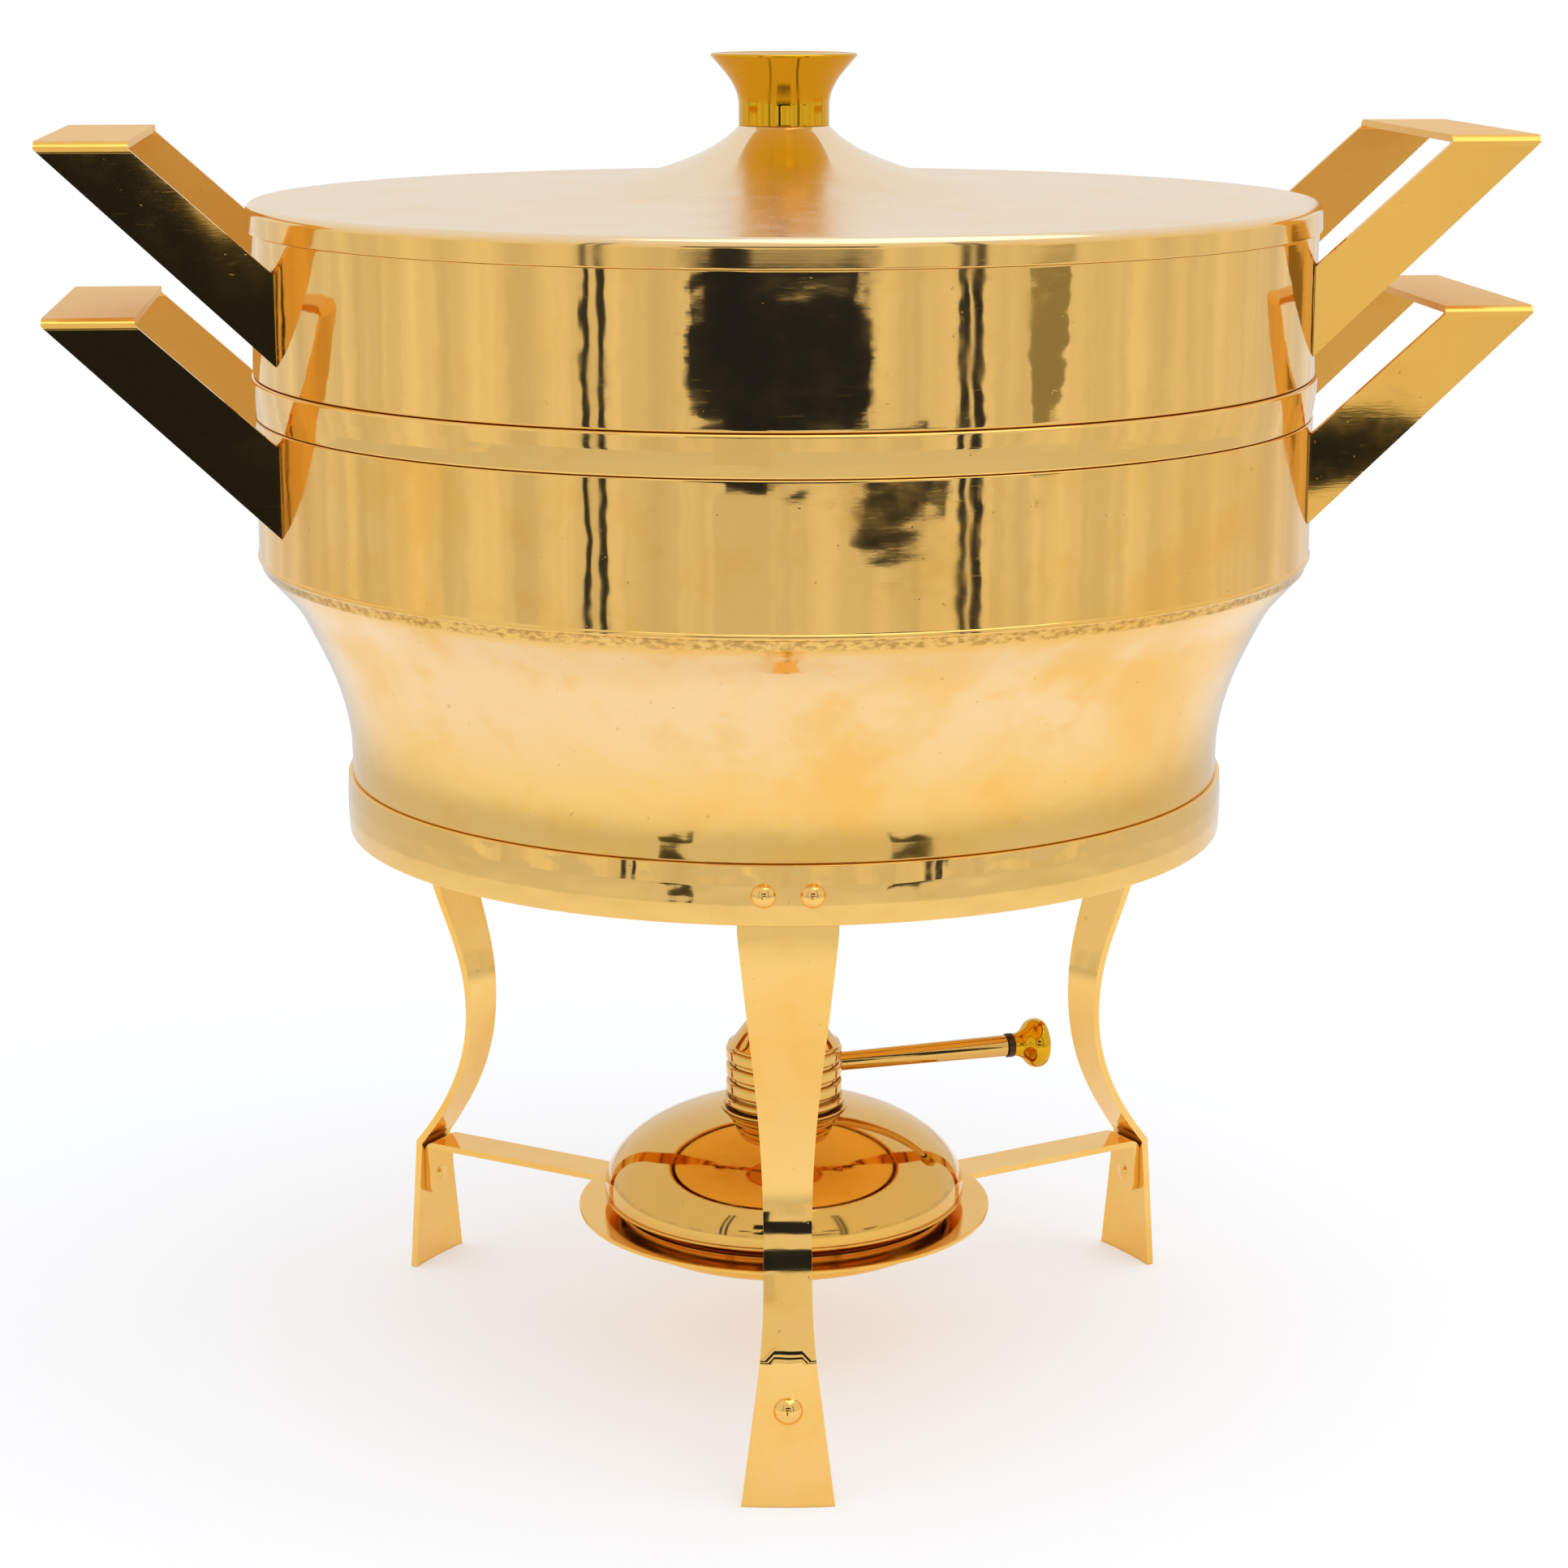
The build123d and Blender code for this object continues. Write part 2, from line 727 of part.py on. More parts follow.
with BuildPart() as food_pan:
    with BuildSketch(Plane.XZ):
        with BuildLine():
            FilletPolyline(
                (food_pan_radius, food_rim),
                (food_pan_radius, band_top),
                (band_inside, band_top),
                (band_inside, water_rim + well_slope / 2),
                (well_radius, water_rim - well_slope / 2),
                (well_radius, well_bottom),
                (0, well_bottom),
                radius=[band_round, pan_step_round, pan_step_round, pan_step_round, well_corner_radius],
            )
            offset(amount=food_pan_wall, side=Side.RIGHT)
        make_face()
    revolve(axis=Axis.Z)
food_pan.part.label = "food_pan_shell"
export_step(food_pan.part, "parts/food_pan_shell.step")

with BuildPart() as food_pan_band:
    with BuildSketch(Plane.XZ) as section:
        with BuildLine():
            Polyline(
                (band_inside, water_rim),
                (band_radius - band_taper, water_rim),
                (band_radius, band_top),
                (band_inside, band_top),
                close=True,
            )
        make_face()
        fillet(section.vertices().group_by(Axis.X)[1:], radius=band_round)
        fillet(section.vertices().group_by(Axis.X)[0].sort_by(Axis.Y)[-1], radius=2 * pan_step_round)
    revolve(axis=Axis.Z)
food_pan_band.part.label = "food_pan_band"
export_step(food_pan_band.part, "parts/food_pan_band.step")


# Folded strip handles

def folded_handle(side, wall_radius, joint_top):
    """A strip folded twice: two slanting arms that leave the wall and a flat grip across their tops."""
    joint_bottom = joint_top - handle_strip
    joint_x = sqrt(wall_radius**2 - handle_half_span**2)
    grip_top = joint_bottom + (handle_reach - joint_x) * tan(radians(handle_rise_angle))
    grip_bottom = grip_top - handle_thickness
    grip_inside = handle_reach - handle_strip
    channel_bottom = joint_bottom - 2 * handle_thickness
    buried_x = joint_x - 2 * handle_thickness
    with BuildPart() as handle:
        with BuildSketch(Plane.YZ) as channel:
            with Locations((0, (grip_top + channel_bottom) / 2)):
                Rectangle(2 * handle_half_span, grip_top - channel_bottom)
            fillet(channel.vertices().group_by(Axis.Y)[-1], radius=handle_fold_radius)
            offset(amount=-handle_thickness, mode=Mode.SUBTRACT)
        extrude(amount=side * handle_reach)
        with BuildSketch(Plane.XZ):
            with BuildLine():
                Polyline(
                    (side * buried_x, joint_bottom),
                    (side * joint_x, joint_bottom),
                    (side * handle_reach, grip_bottom),
                    (side * handle_reach, grip_top),
                    (side * grip_inside, grip_top),
                    (side * grip_inside, grip_bottom),
                    (side * joint_x, joint_top),
                    (side * buried_x, joint_top),
                    close=True,
                )
            make_face()
        extrude(amount=2 * handle_half_span, both=True, mode=Mode.INTERSECT)
        with BuildSketch(Plane.XY.offset(channel_bottom)):
            Circle(wall_radius)
        extrude(amount=grip_top - channel_bottom, mode=Mode.SUBTRACT)
    return handle


handle_places = (
    ("water_pan_handle_right", 1, water_pan_radius, water_rim - water_handle_drop),
    ("water_pan_handle_left", -1, water_pan_radius, water_rim - water_handle_drop),
    ("food_pan_handle_right", 1, food_pan_radius, food_rim - food_handle_drop),
    ("food_pan_handle_left", -1, food_pan_radius, food_rim - food_handle_drop),
)
for handle_name, side, wall_radius, joint_top in handle_places:
    handle = folded_handle(side, wall_radius, joint_top)
    handle.part.label = handle_name
    export_step(handle.part, f"parts/{handle_name}.step")


# Lid and the ring that centres it

skirt_radius = lid_radius - lid_wall / 2
crown_base = lid_shoulder - lid_wall / 2
crown_top = knob_seat - lid_wall / 2
with BuildPart() as lid:
    with BuildSketch(Plane.XZ):
        with BuildLine():
            skirt = Line((skirt_radius, lid_seam), (skirt_radius, lid_shoulder - lid_edge_round))
            edge = TangentArc(skirt @ 1, (lid_radius - lid_edge_round, crown_base), tangent=skirt % 1)
            crown = Spline(
                edge @ 1,
                (lid_plain_radius, crown_base + lid_plain_height),
                (lid_flare_radius, crown_base + lid_flare_height),
                (lid_crown_radius, crown_top),
                tangents=[(-1, 0.02), (-0.66, 0.75)],
            )
            Line(crown @ 1, (0, crown_top))
        trace(line_width=lid_wall)
    revolve(axis=Axis.Z)
    with BuildSketch(Plane.XY.offset(knob_seat)):
        Circle(screw_radius + fixed_gap)
    extrude(amount=-2 * lid_wall, mode=Mode.SUBTRACT)
lid.part.label = "lid_shell"
export_step(lid.part, "parts/lid_shell.step")

locating_radius = food_pan_inside - lift_gap
locating_rim = lid_radius - lid_wall - fixed_gap
with BuildPart() as locating_ring:
    with BuildSketch(Plane.XZ):
        with BuildLine():
            Polyline(
                (locating_radius, lid_seam - locating_depth),
                (locating_radius, lid_seam),
                (locating_rim, lid_seam),
                (locating_rim, lid_seam + lid_wall),
                (locating_radius - locating_flange, lid_seam + lid_wall),
                (locating_radius - locating_flange, lid_seam),
                (locating_radius - lid_wall, lid_seam),
                (locating_radius - lid_wall, lid_seam - locating_depth),
                close=True,
            )
        make_face()
    revolve(axis=Axis.Z)
locating_ring.part.label = "lid_locating_ring"
export_step(locating_ring.part, "parts/lid_locating_ring.step")


# Lid knob, screw and washer

knob_band_top = knob_seat + knob_band_height
knob_edge_bottom = knob_band_top + knob_flare_height
knob_top = knob_edge_bottom + knob_edge_height
screw_end = knob_seat + screw_grip
with BuildPart() as lid_knob:
    with BuildSketch(Plane.XZ):
        with BuildLine():
            band = Polyline((0, knob_seat), (knob_band_radius, knob_seat), (knob_band_radius, knob_band_top))
            flare = Spline(
                band @ 1,
                (knob_waist_radius, knob_band_top + knob_waist_rise),
                (knob_radius, knob_edge_bottom),
                tangents=[(0.05, 1), (0.66, 0.75)],
            )
            rim = TangentArc(flare @ 1, (knob_radius - knob_edge_height, knob_top), tangent=flare % 1)
            dish = Spline(rim @ 1, (0, knob_top - knob_dish_depth), tangents=[(-1, -0.24), (-1, 0)])
            Line(dish @ 1, band @ 0)
        make_face()
    revolve(axis=Axis.Z)
    with BuildSketch(Plane.XY.offset(knob_seat)):
        Circle(screw_radius + fixed_gap)
    extrude(amount=screw_grip + fixed_gap, mode=Mode.SUBTRACT)
lid_knob.part.label = "lid_knob"
export_step(lid_knob.part, "parts/lid_knob.step")

washer_top = knob_seat - lid_wall
with BuildPart() as knob_washer:
    with BuildSketch(Plane.XY.offset(washer_top - washer_thickness)):
        Circle(washer_radius)
        Circle(screw_radius + fixed_gap, mode=Mode.SUBTRACT)
    extrude(amount=washer_thickness)
knob_washer.part.label = "knob_washer"
export_step(knob_washer.part, "parts/knob_washer.step")

head_top = washer_top - washer_thickness
with BuildPart() as knob_screw:
    with BuildSketch(Plane.XY.offset(head_top - screw_head_height)):
        Circle(screw_head_radius)
    extrude(amount=screw_head_height)
    fillet(knob_screw.edges().group_by(Axis.Z)[0], radius=screw_head_height / 2)
    with BuildSketch(Plane.XY.offset(head_top)):
        Circle(screw_radius)
    extrude(amount=screw_end - head_top)
knob_screw.part.label = "knob_screw"
export_step(knob_screw.part, "parts/knob_screw.step")
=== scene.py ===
"""Looks for a brass chafing dish: lid, food pan, water pan, stand and spirit burner, in a plain studio."""

import json
import math

import bmesh
import bpy
from bpy.props import FloatProperty, FloatVectorProperty, IntProperty, PointerProperty
from mathutils import Matrix, Vector

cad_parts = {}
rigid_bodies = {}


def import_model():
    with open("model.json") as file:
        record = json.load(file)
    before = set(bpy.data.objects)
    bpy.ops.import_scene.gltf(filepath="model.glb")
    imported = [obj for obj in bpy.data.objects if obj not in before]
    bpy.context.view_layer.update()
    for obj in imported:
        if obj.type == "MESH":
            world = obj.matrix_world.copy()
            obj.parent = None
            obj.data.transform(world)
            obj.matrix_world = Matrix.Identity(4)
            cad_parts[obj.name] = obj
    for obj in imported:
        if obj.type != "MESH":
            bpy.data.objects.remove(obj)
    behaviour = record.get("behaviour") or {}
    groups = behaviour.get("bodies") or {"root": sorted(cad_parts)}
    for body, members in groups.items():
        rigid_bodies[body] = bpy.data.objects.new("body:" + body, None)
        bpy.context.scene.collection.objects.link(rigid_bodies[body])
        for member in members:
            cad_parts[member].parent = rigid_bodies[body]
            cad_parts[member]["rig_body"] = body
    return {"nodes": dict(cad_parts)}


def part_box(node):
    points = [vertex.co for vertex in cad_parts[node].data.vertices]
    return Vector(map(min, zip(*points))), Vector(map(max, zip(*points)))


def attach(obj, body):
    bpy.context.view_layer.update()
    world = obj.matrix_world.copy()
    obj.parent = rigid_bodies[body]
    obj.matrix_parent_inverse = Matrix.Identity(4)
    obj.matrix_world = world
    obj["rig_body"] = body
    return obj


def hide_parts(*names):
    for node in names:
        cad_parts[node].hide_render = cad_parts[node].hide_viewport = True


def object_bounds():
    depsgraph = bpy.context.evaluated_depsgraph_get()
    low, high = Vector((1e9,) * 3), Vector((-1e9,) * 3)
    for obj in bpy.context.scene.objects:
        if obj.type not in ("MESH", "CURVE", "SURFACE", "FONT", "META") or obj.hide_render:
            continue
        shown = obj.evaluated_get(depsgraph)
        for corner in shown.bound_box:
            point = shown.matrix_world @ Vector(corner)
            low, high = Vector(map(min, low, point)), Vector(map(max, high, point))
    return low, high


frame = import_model()
cad_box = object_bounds()

bl_info = {
    "name": "Chafing Dish",
    "version": (1, 0, 0),
    "blender": (4, 5, 0),
    "location": "View3D > Sidebar > Dish",
    "description": "Dresses the packed chafing dish in polished brass and sets up its studio",
    "category": "Object",
}

UP = Vector((0, 0, 1))
UPRIGHT = Matrix.Identity(4)

# Outlines of turned pieces, in metres and radians
ON_AXIS = 1e-6
SAME_PLACE = 1e-5
OUTLINE_DIGITS = 6
LEAST_CORNER = 1e-6
CORNER_SHARE = 0.4
CORNER_STEPS = 4
CURVE_STEPS = 3
GENTLE_BEND = math.radians(0.4)
SHARP_BEND = math.radians(24)
HOLD_REACH = 0.0003
LONG_STRAIGHT = 8 * HOLD_REACH
SHADE_BREAK = math.radians(35)

# Filed strip metal
FLAT_WITHIN = math.radians(0.5)
FILED_BEND = math.radians(40)
FILED_STEPS = 3
FLAT_WEIGHT = 100

# Patterns on the brass, in waves to the metre; a pair is across and up the piece, and breaks are to the radian
CLOUD_WAVES = 14.0
SMEAR_WAVES = 65.0
PIT_WAVES = 420.0
HAIRLINE_WAVES = (160.0, 1400.0)
CRUMB_WAVES = (420.0, 900.0)
FLAT_WAVES = (75.0, 115.0)
STREAK_WAVES = (170.0, 14.0)
RING_WAVES = 900.0
RING_BREAKS = 1.5

# Levels of a pattern between which its mark comes in; full tarnish lowers those of its patches
PATCH_LEVELS = (0.62, 0.82)
PATCH_LOWERING = (0.22, 0.14)
# Cloud levels over which the painted highlight paleness is broken up
HIGHLIGHT_BREAKUP_LEVELS = (0.62, 0.4)
MOTTLE_LEVELS = (0.48, 0.7)
SMEAR_LEVELS = (0.45, 0.75)
HAIRLINE_LEVELS = (0.6, 0.8)
PIT_LEVELS = (0.72, 0.78)
# The seams' mark follows how closed in a point is: painted shade, together with grime
SEAM_LEVELS = (0.62, 0.25)
SEAM_SAMPLES = 6
CRUMB_LEVELS = (0.38, 0.68)

# How strongly each mark colours the brass, from 0 to 1
PATCH_TONE = 0.25
PATCH_TARNISH_TONE = 0.6
MOTTLE_TONE = 0.45
PIT_TONE = 0.35
# The seams' mark is painted shade together with grime
SEAM_TONE = 0.7
CRUMB_TONES = (0.1, 0.6)

# Shares of the dulling that marks give, and roughness that some add of their own
PATCH_DULLING = 0.6
SMEAR_DULLING = 0.35
HAIRLINE_DULLING = 0.5
SEAM_ROUGHNESS = 0.3
HAZE_ROUGHNESS = 0.18
SATIN_ROUGHNESS = 0.36

# Relief of the finest marks, in metres
HAIRLINE_HEIGHT = 0.0000012
RING_HEIGHT = 0.000003
PIT_DEPTH = 0.00001

# Heights between which a finish, a painted highlight or a band of grime and painted shade sets in or ends, in
# metres from the lid's foot or the water pan's foot or rim
LID_TOP_STARTS = (0.005, 0.0075)
LID_HAZE = ((0.006, 0.0085), (0.022, 0.013))
FLARE_STARTS = (0.02, 0.055)
FLARE_ENDS = (-0.0435, -0.046)
# A band just under the water pan's moulding, darkened by speckled grime and painted shade
MOULDING_GRIME_AND_SHADE = ((-0.0437, -0.0425), (-0.0398, -0.0406))

# A pair of heights over the whole dish, for a finish that doesn't end
OVER_ALL = (1.0, 0.9)

# How far inside a handle's edges its satin begins and is full
SATIN_DEPTHS = (0.001, 0.0015)

# Wick
WEAVE_WAVES = 420.0
WEAVE_HEIGHT = 0.0003
WEAVE_ROUGHNESS = (0.8, 0.95)
SINGED_LENGTH = 0.004

# Distances from the dish of what only its reflections show, in metres
NEAR_DISTANCE = 0.35
CLOTH_DISTANCE = 1.12
POLE_DISTANCE = 1.13

# Outlines of cloths and a screen, as distances to the camera's right and heights
CAMERA_CLOTH = (
    (-0.33, 0.166), (-0.3, 0.155), (-0.235, 0.148), (-0.15, 0.06), (-0.06, 0.06), (-0.06, 0.146), (0.18, 0.147),
    (0.28, 0.156), (0.32, 0.166), (0.315, 0.176), (0.345, 0.186), (0.322, 0.196), (0.352, 0.206), (0.33, 0.215),
    (0.345, 0.224), (0.31, 0.232), (0.325, 0.238), (0.27, 0.243), (0.3, 0.248), (0.39, 0.254), (0.37, 0.262),
    (-0.115, 0.262), (-0.155, 0.31), (-0.2, 0.345), (-0.27, 0.345), (-0.28, 0.262), (-0.41, 0.262),
    (-0.43, 0.255), (-0.33, 0.248), (-0.3, 0.243), (-0.36, 0.238), (-0.345, 0.231), (-0.385, 0.222),
    (-0.36, 0.213), (-0.395, 0.204), (-0.37, 0.194), (-0.39, 0.184), (-0.355, 0.175),
)
LOW_STRIP = (
    (0.24, 0.124), (0.3, 0.1), (0.45, 0.09), (0.6, 0.104), (0.68, 0.096), (0.73, 0.118), (0.62, 0.13),
    (0.58, 0.146), (0.3, 0.146), (0.33, 0.132),
)
SIDE_SCREEN = (
    (1.3, 0.16), (1.35, 0.1), (1.4, 0.04), (1.6, 0.055), (1.75, 0.07), (1.85, 0.12), (1.95, 0.2), (1.3, 0.2),
)
LOW_CLOTHS = {
    "left_low_cloth": (
        (-0.18, 0.11), (-0.155, 0.103), (-0.135, 0.108), (-0.118, 0.104), (-0.124, 0.115), (-0.15, 0.121),
        (-0.17, 0.119)),
    "right_low_cloth": (
        (0.138, 0.104), (0.165, 0.108), (0.19, 0.102), (0.225, 0.109), (0.215, 0.118), (0.19, 0.122),
        (0.15, 0.117)),
}

# Straight-sided ones: left and right edges, and then heights
HIGH_CLOTH = (-0.39, 0.36, 0.4, 0.62)
WHITE_CARD = (-0.068, -0.012, 0.198, 0.2505)
POLES = {
    "left_pole_outer": (-0.94, -0.89),
    "left_pole_inner": (-0.837, -0.787),
    "right_pole_inner": (0.762, 0.816),
    "right_pole_outer": (0.848, 0.922),
}
POLE_HEIGHTS = (-0.5, 1.2)

# Floor, room and softbox, with the drapes' folds in waves to the radian, and the camera's sensor in millimetres
FLOOR_SIDES = 128
FLOOR_FADE_DISTANCES = (0.42, 0.85)
BRASS_FADE = 1.2
FOLDS_ROUND = 6.0
FOLDS_UP = 0.8
FOLD_LEVELS = (0.3, 0.7)
FOLD_TONES = (0.66, 0.92)
DRAPES_END = (0.0, 0.04)
SOFTBOX_PLACE = (0.25, -0.3, 1.5)
SOFTBOX_WIDTH = 1.2
SENSOR_WIDTH = 36.0


# Sizes and colours that a user would change

class BrassSettings(bpy.types.PropertyGroup):
    """Tones and surface of the polished brass."""
    bright: FloatVectorProperty(
        name="Bright brass", description="Freshly polished brass", subtype="COLOR", size=4, min=0, max=1,
        default=(0.93, 0.575, 0.17, 1))
    warm: FloatVectorProperty(
        name="Warm brass", description="Brass with a thin film of tarnish", subtype="COLOR", size=4, min=0, max=1,
        default=(0.9, 0.48, 0.08, 1))
    # Paler brass on top of the lid, where the brass is brightest: painted highlight
    pale: FloatVectorProperty(
        name="Pale brass", description="Hard-polished brass on top of the lid", subtype="COLOR", size=4, min=0,
        max=1, default=(0.94, 0.73, 0.48, 1))
    # Paler brass on the water pan's flare, where it mirrors the bright floor: painted highlight
    flare_highlight: FloatVectorProperty(
        name="Worn brass", description="Hard-polished brass on the water pan's flare", subtype="COLOR", size=4,
        min=0, max=1, default=(0.94, 0.65, 0.32, 1))
    # Redder brass of the turned knobs, deepened to the tone that light bounced twice inside a knob gives: partly
    # painted reflection
    amber_and_bounce: FloatVectorProperty(
        name="Amber brass", description="Redder brass of the turned knobs", subtype="COLOR", size=4, min=0, max=1,
        default=(0.74, 0.39, 0.012, 1))
    handled: FloatVectorProperty(
        name="Handled brass", description="Deeper brass of the handles, from the hands that hold them",
        subtype="COLOR", size=4, min=0, max=1, default=(0.91, 0.52, 0.11, 1))
    # Darker brass for the burner, which sits in the shade under the dish: painted shade
    under_dish_shade: FloatVectorProperty(
        name="Filmed brass", description="Brass under a film of heat and handling, on the burner",
        subtype="COLOR", size=4, min=0, max=1, default=(0.76, 0.44, 0.11, 1))
    # Also darkens the seams and the band under the water pan's moulding as painted shade, together with grime; in
    # the pits it is tarnish
    grime_and_shade: FloatVectorProperty(
        name="Grime", description="Old polish and tarnish left in seams", subtype="COLOR", size=4, min=0, max=1,
        default=(0.2, 0.075, 0.012, 1))
    roughness: FloatProperty(
        name="Roughness", description="Roughness of the cleanest brass", default=0.045, min=0, max=1,
        subtype="FACTOR")
    dulling: FloatProperty(
        name="Dulling", description="Roughness that tarnish adds", default=0.1, min=0, max=1, subtype="FACTOR")
    ripple: FloatProperty(
        name="Ripple", description="Height of the waves left by hand polishing", default=0.00005, min=0,
        max=0.001, unit="LENGTH", precision=6)
    ripple_size: FloatProperty(
        name="Ripple size", description="Distance from wave to wave", default=0.022, min=0.002, max=0.2,
        unit="LENGTH")
    planish: FloatProperty(
        name="Planishing", description="Depth of the flats that the spinner's tool leaves round the walls",
        default=0.00009, min=0, max=0.001, unit="LENGTH", precision=6)
    streak: FloatProperty(
        name="Streaks", description="Depth of the upright polishing streaks", default=0.00002, min=0, max=0.001,
        unit="LENGTH", precision=6)
    # How far the seams' painted shade and grime reach out of a seam
    seam_reach: FloatProperty(
        name="Seam reach", description="How far grime spreads out of a seam", default=0.0025, min=0.0001,
        max=0.02, unit="LENGTH")


class SmallPartSettings(bpy.types.PropertyGroup):
    """Tones of the lid's screw, the arm's ferrule and the wick."""
    steel_low: FloatVectorProperty(
        name="Steel, dark", description="Darker tone of the plain steel", subtype="COLOR", size=4, min=0, max=1,
        default=(0.5, 0.49, 0.47, 1))
    steel_high: FloatVectorProperty(
        name="Steel, light", description="Lighter tone of the plain steel", subtype="COLOR", size=4, min=0, max=1,
        default=(0.62, 0.61, 0.59, 1))
    ferrule_low: FloatVectorProperty(
        name="Ferrule, dark", description="Nearly black brown of the heat-darkened ferrule", subtype="COLOR",
        size=4, min=0, max=1, default=(0.045, 0.02, 0.008, 1))
    ferrule_high: FloatVectorProperty(
        name="Ferrule, rubbed", description="Brown of the ferrule where it is rubbed", subtype="COLOR", size=4,
        min=0, max=1, default=(0.11, 0.055, 0.02, 1))
    cotton_low: FloatVectorProperty(
        name="Cotton, dark", description="The wick between its strands", subtype="COLOR", size=4, min=0, max=1,
        default=(0.62, 0.55, 0.42, 1))
    cotton_high: FloatVectorProperty(
        name="Cotton, light", description="The wick's strands", subtype="COLOR", size=4, min=0, max=1,
        default=(0.82, 0.77, 0.66, 1))
    singed: FloatVectorProperty(
        name="Singed cotton", description="The burnt top of the wick", subtype="COLOR", size=4, min=0, max=1,
        default=(0.05, 0.035, 0.025, 1))


class FinishSettings(bpy.types.PropertyGroup):
    """How finely the pieces are turned and how soft their edges are."""
    spin_steps: IntProperty(
        name="Steps round the dish", description="Facets round a large spun piece", default=256, min=24, max=1024)
    small_steps: IntProperty(
        name="Steps round a small piece", description="Facets round a small turned piece", default=96, min=12,
        max=512)
    spun_edge: FloatProperty(
        name="Spun edge", description="Radius of the edges of spun pieces", default=0.00035, min=0, max=0.003,
        unit="LENGTH", precision=5)
    strip_edge: FloatProperty(
        name="Strip edge", description="Radius of the filed edges of strip metal", default=0.00055, min=0,
        max=0.003, unit="LENGTH", precision=5)


class StageSettings(bpy.types.PropertyGroup):
    """The studio round the dish."""
    camera_turn: FloatProperty(
        name="Camera turn", description="How far the camera stands to the left of the front",
        default=math.radians(5.5), subtype="ANGLE")
    camera_distance: FloatProperty(
        name="Camera distance", description="From the dish's axis, along the floor", default=1.033, min=0.3,
        unit="LENGTH")
    camera_height: FloatProperty(
        name="Camera height", description="Above the floor", default=0.4102, unit="LENGTH")
    camera_pitch: FloatProperty(
        name="Camera pitch", description="How far the camera looks down", default=math.radians(13.02),
        subtype="ANGLE")
    camera_lens: FloatProperty(
        name="Lens", description="Focal length on a 36 mm sensor", default=82.17, min=10, unit="CAMERA")
    floor_radius: FloatProperty(
        name="Floor radius", description="Radius of the pale floor", default=1.1, min=0.5, unit="LENGTH")
    floor_colour: FloatVectorProperty(
        name="Floor", description="Colour of the floor", subtype="COLOR", size=4, min=0, max=1,
        default=(0.76, 0.8, 0.87, 1))
    floor_lift: FloatProperty(
        name="Floor lift", description="What the floor adds to what the camera and the brass see", default=0.385,
        min=0)
    floor_fade: FloatProperty(
        name="Floor fade", description="How much more of this the camera, and less the brass, sees far out",
        default=0.24, min=0)
    softbox_power: FloatProperty(
        name="Softbox", description="Power of the large softbox overhead", default=4.0, min=0, unit="POWER")
    room_light: FloatProperty(
        name="Room light", description="Brightness of the white room", default=0.72, min=0)
    upper_light: FloatProperty(
        name="Upper light", description="Brightness of the room above the dish, as the brass shows it",
        default=0.85, min=0)
    dark_cloth: FloatVectorProperty(
        name="Dark cloth", description="Cloths and poles that the brass mirrors", subtype="COLOR", size=4, min=0,
        max=1, default=(0.022, 0.028, 0.055, 1))
    dim_cloth: FloatVectorProperty(
        name="Dim cloth", description="Small low cloths that the hoop mirrors", subtype="COLOR", size=4, min=0,
        max=1, default=(0.09, 0.085, 0.06, 1))
    grey_screen: FloatVectorProperty(
        name="Grey screen", description="Screen to the right that the flare mirrors", subtype="COLOR", size=4,
        min=0, max=1, default=(0.4, 0.39, 0.3, 1))
    card_tone: FloatProperty(
        name="White card", description="Brightness of the card that hides part of the dark cloth", default=0.7,
        min=0)


# Meshes turned from the frame's own outlines

def lying_axes(angle, height):
    """Axes of a piece that lies along a direction: Z runs along it, and X up to its seam."""
    along = Vector((math.cos(angle), math.sin(angle), 0))
    axes = Matrix((UP, along.cross(UP), along)).transposed().to_4x4()
    return Matrix.Translation((0, 0, height)) @ axes


def seam_edges(node, axes):
    """Edges of a node's mesh that lie on its seam, as pairs of (radius, height)."""
    mesh = frame["nodes"][node].data
    inverse = axes.inverted()
    places = [inverse @ v.co for v in mesh.vertices]

    def on_seam(p):
        return abs(p.y) < SAME_PLACE and p.x > -SAME_PLACE

    edges = set()
    for edge in mesh.edges:
        a, b = (places[i] for i in edge.vertices)
        if on_seam(a) and on_seam(b):
            ends = frozenset(
                (round(max(p.x, 0), OUTLINE_DIGITS), round(p.z, OUTLINE_DIGITS)) for p in (a, b))
            if len(ends) == 2:
                edges.add(ends)
    return edges


def neighbours(edges):
    """For each point of the outline, the points it is joined to."""
    joined = {}
    for edge in edges:
        a, b = edge
        joined.setdefault(a, set()).add(b)
        joined.setdefault(b, set()).add(a)
    return joined


def close_flats(edges):
    """Flat faces have no seam, so loose ends at one height are joined, or joined to the axis."""
    joined = neighbours(edges)
    levels = {}
    for point, others in joined.items():
        if len(others) == 1 and point[0] > ON_AXIS:
            levels.setdefault(point[1], []).append(point)
    for height, points in levels.items():
        points.sort()
        if len(points) % 2:
            points.insert(0, (0.0, height))
        for inner, outer in zip(points[::2], points[1::2]):
            edges.add(frozenset((inner, outer)))
    return edges


def outlines(node, axes):
    """Outlines of a turned node: lists of (radius, height), each with whether it is closed off the axis."""
    joined = neighbours(close_flats(seam_edges(node, axes)))
    left = set(joined)
    found = []
    while left:
        ends = [p for p in left if p[0] <= ON_AXIS and len(joined[p]) == 1]
        point = min(ends) if ends else min(left)
        chain = [point]
        left.discard(point)
        while True:
            step = [p for p in joined[chain[-1]] if p in left]
            if not step:
                break
            chain.append(step[0])
            left.discard(step[0])
        if len(chain) > 2:
            found.append((chain, chain[0][0] > ON_AXIS))
    if not found:
        raise RuntimeError(f"{node} has no outline on its seam")
    return found


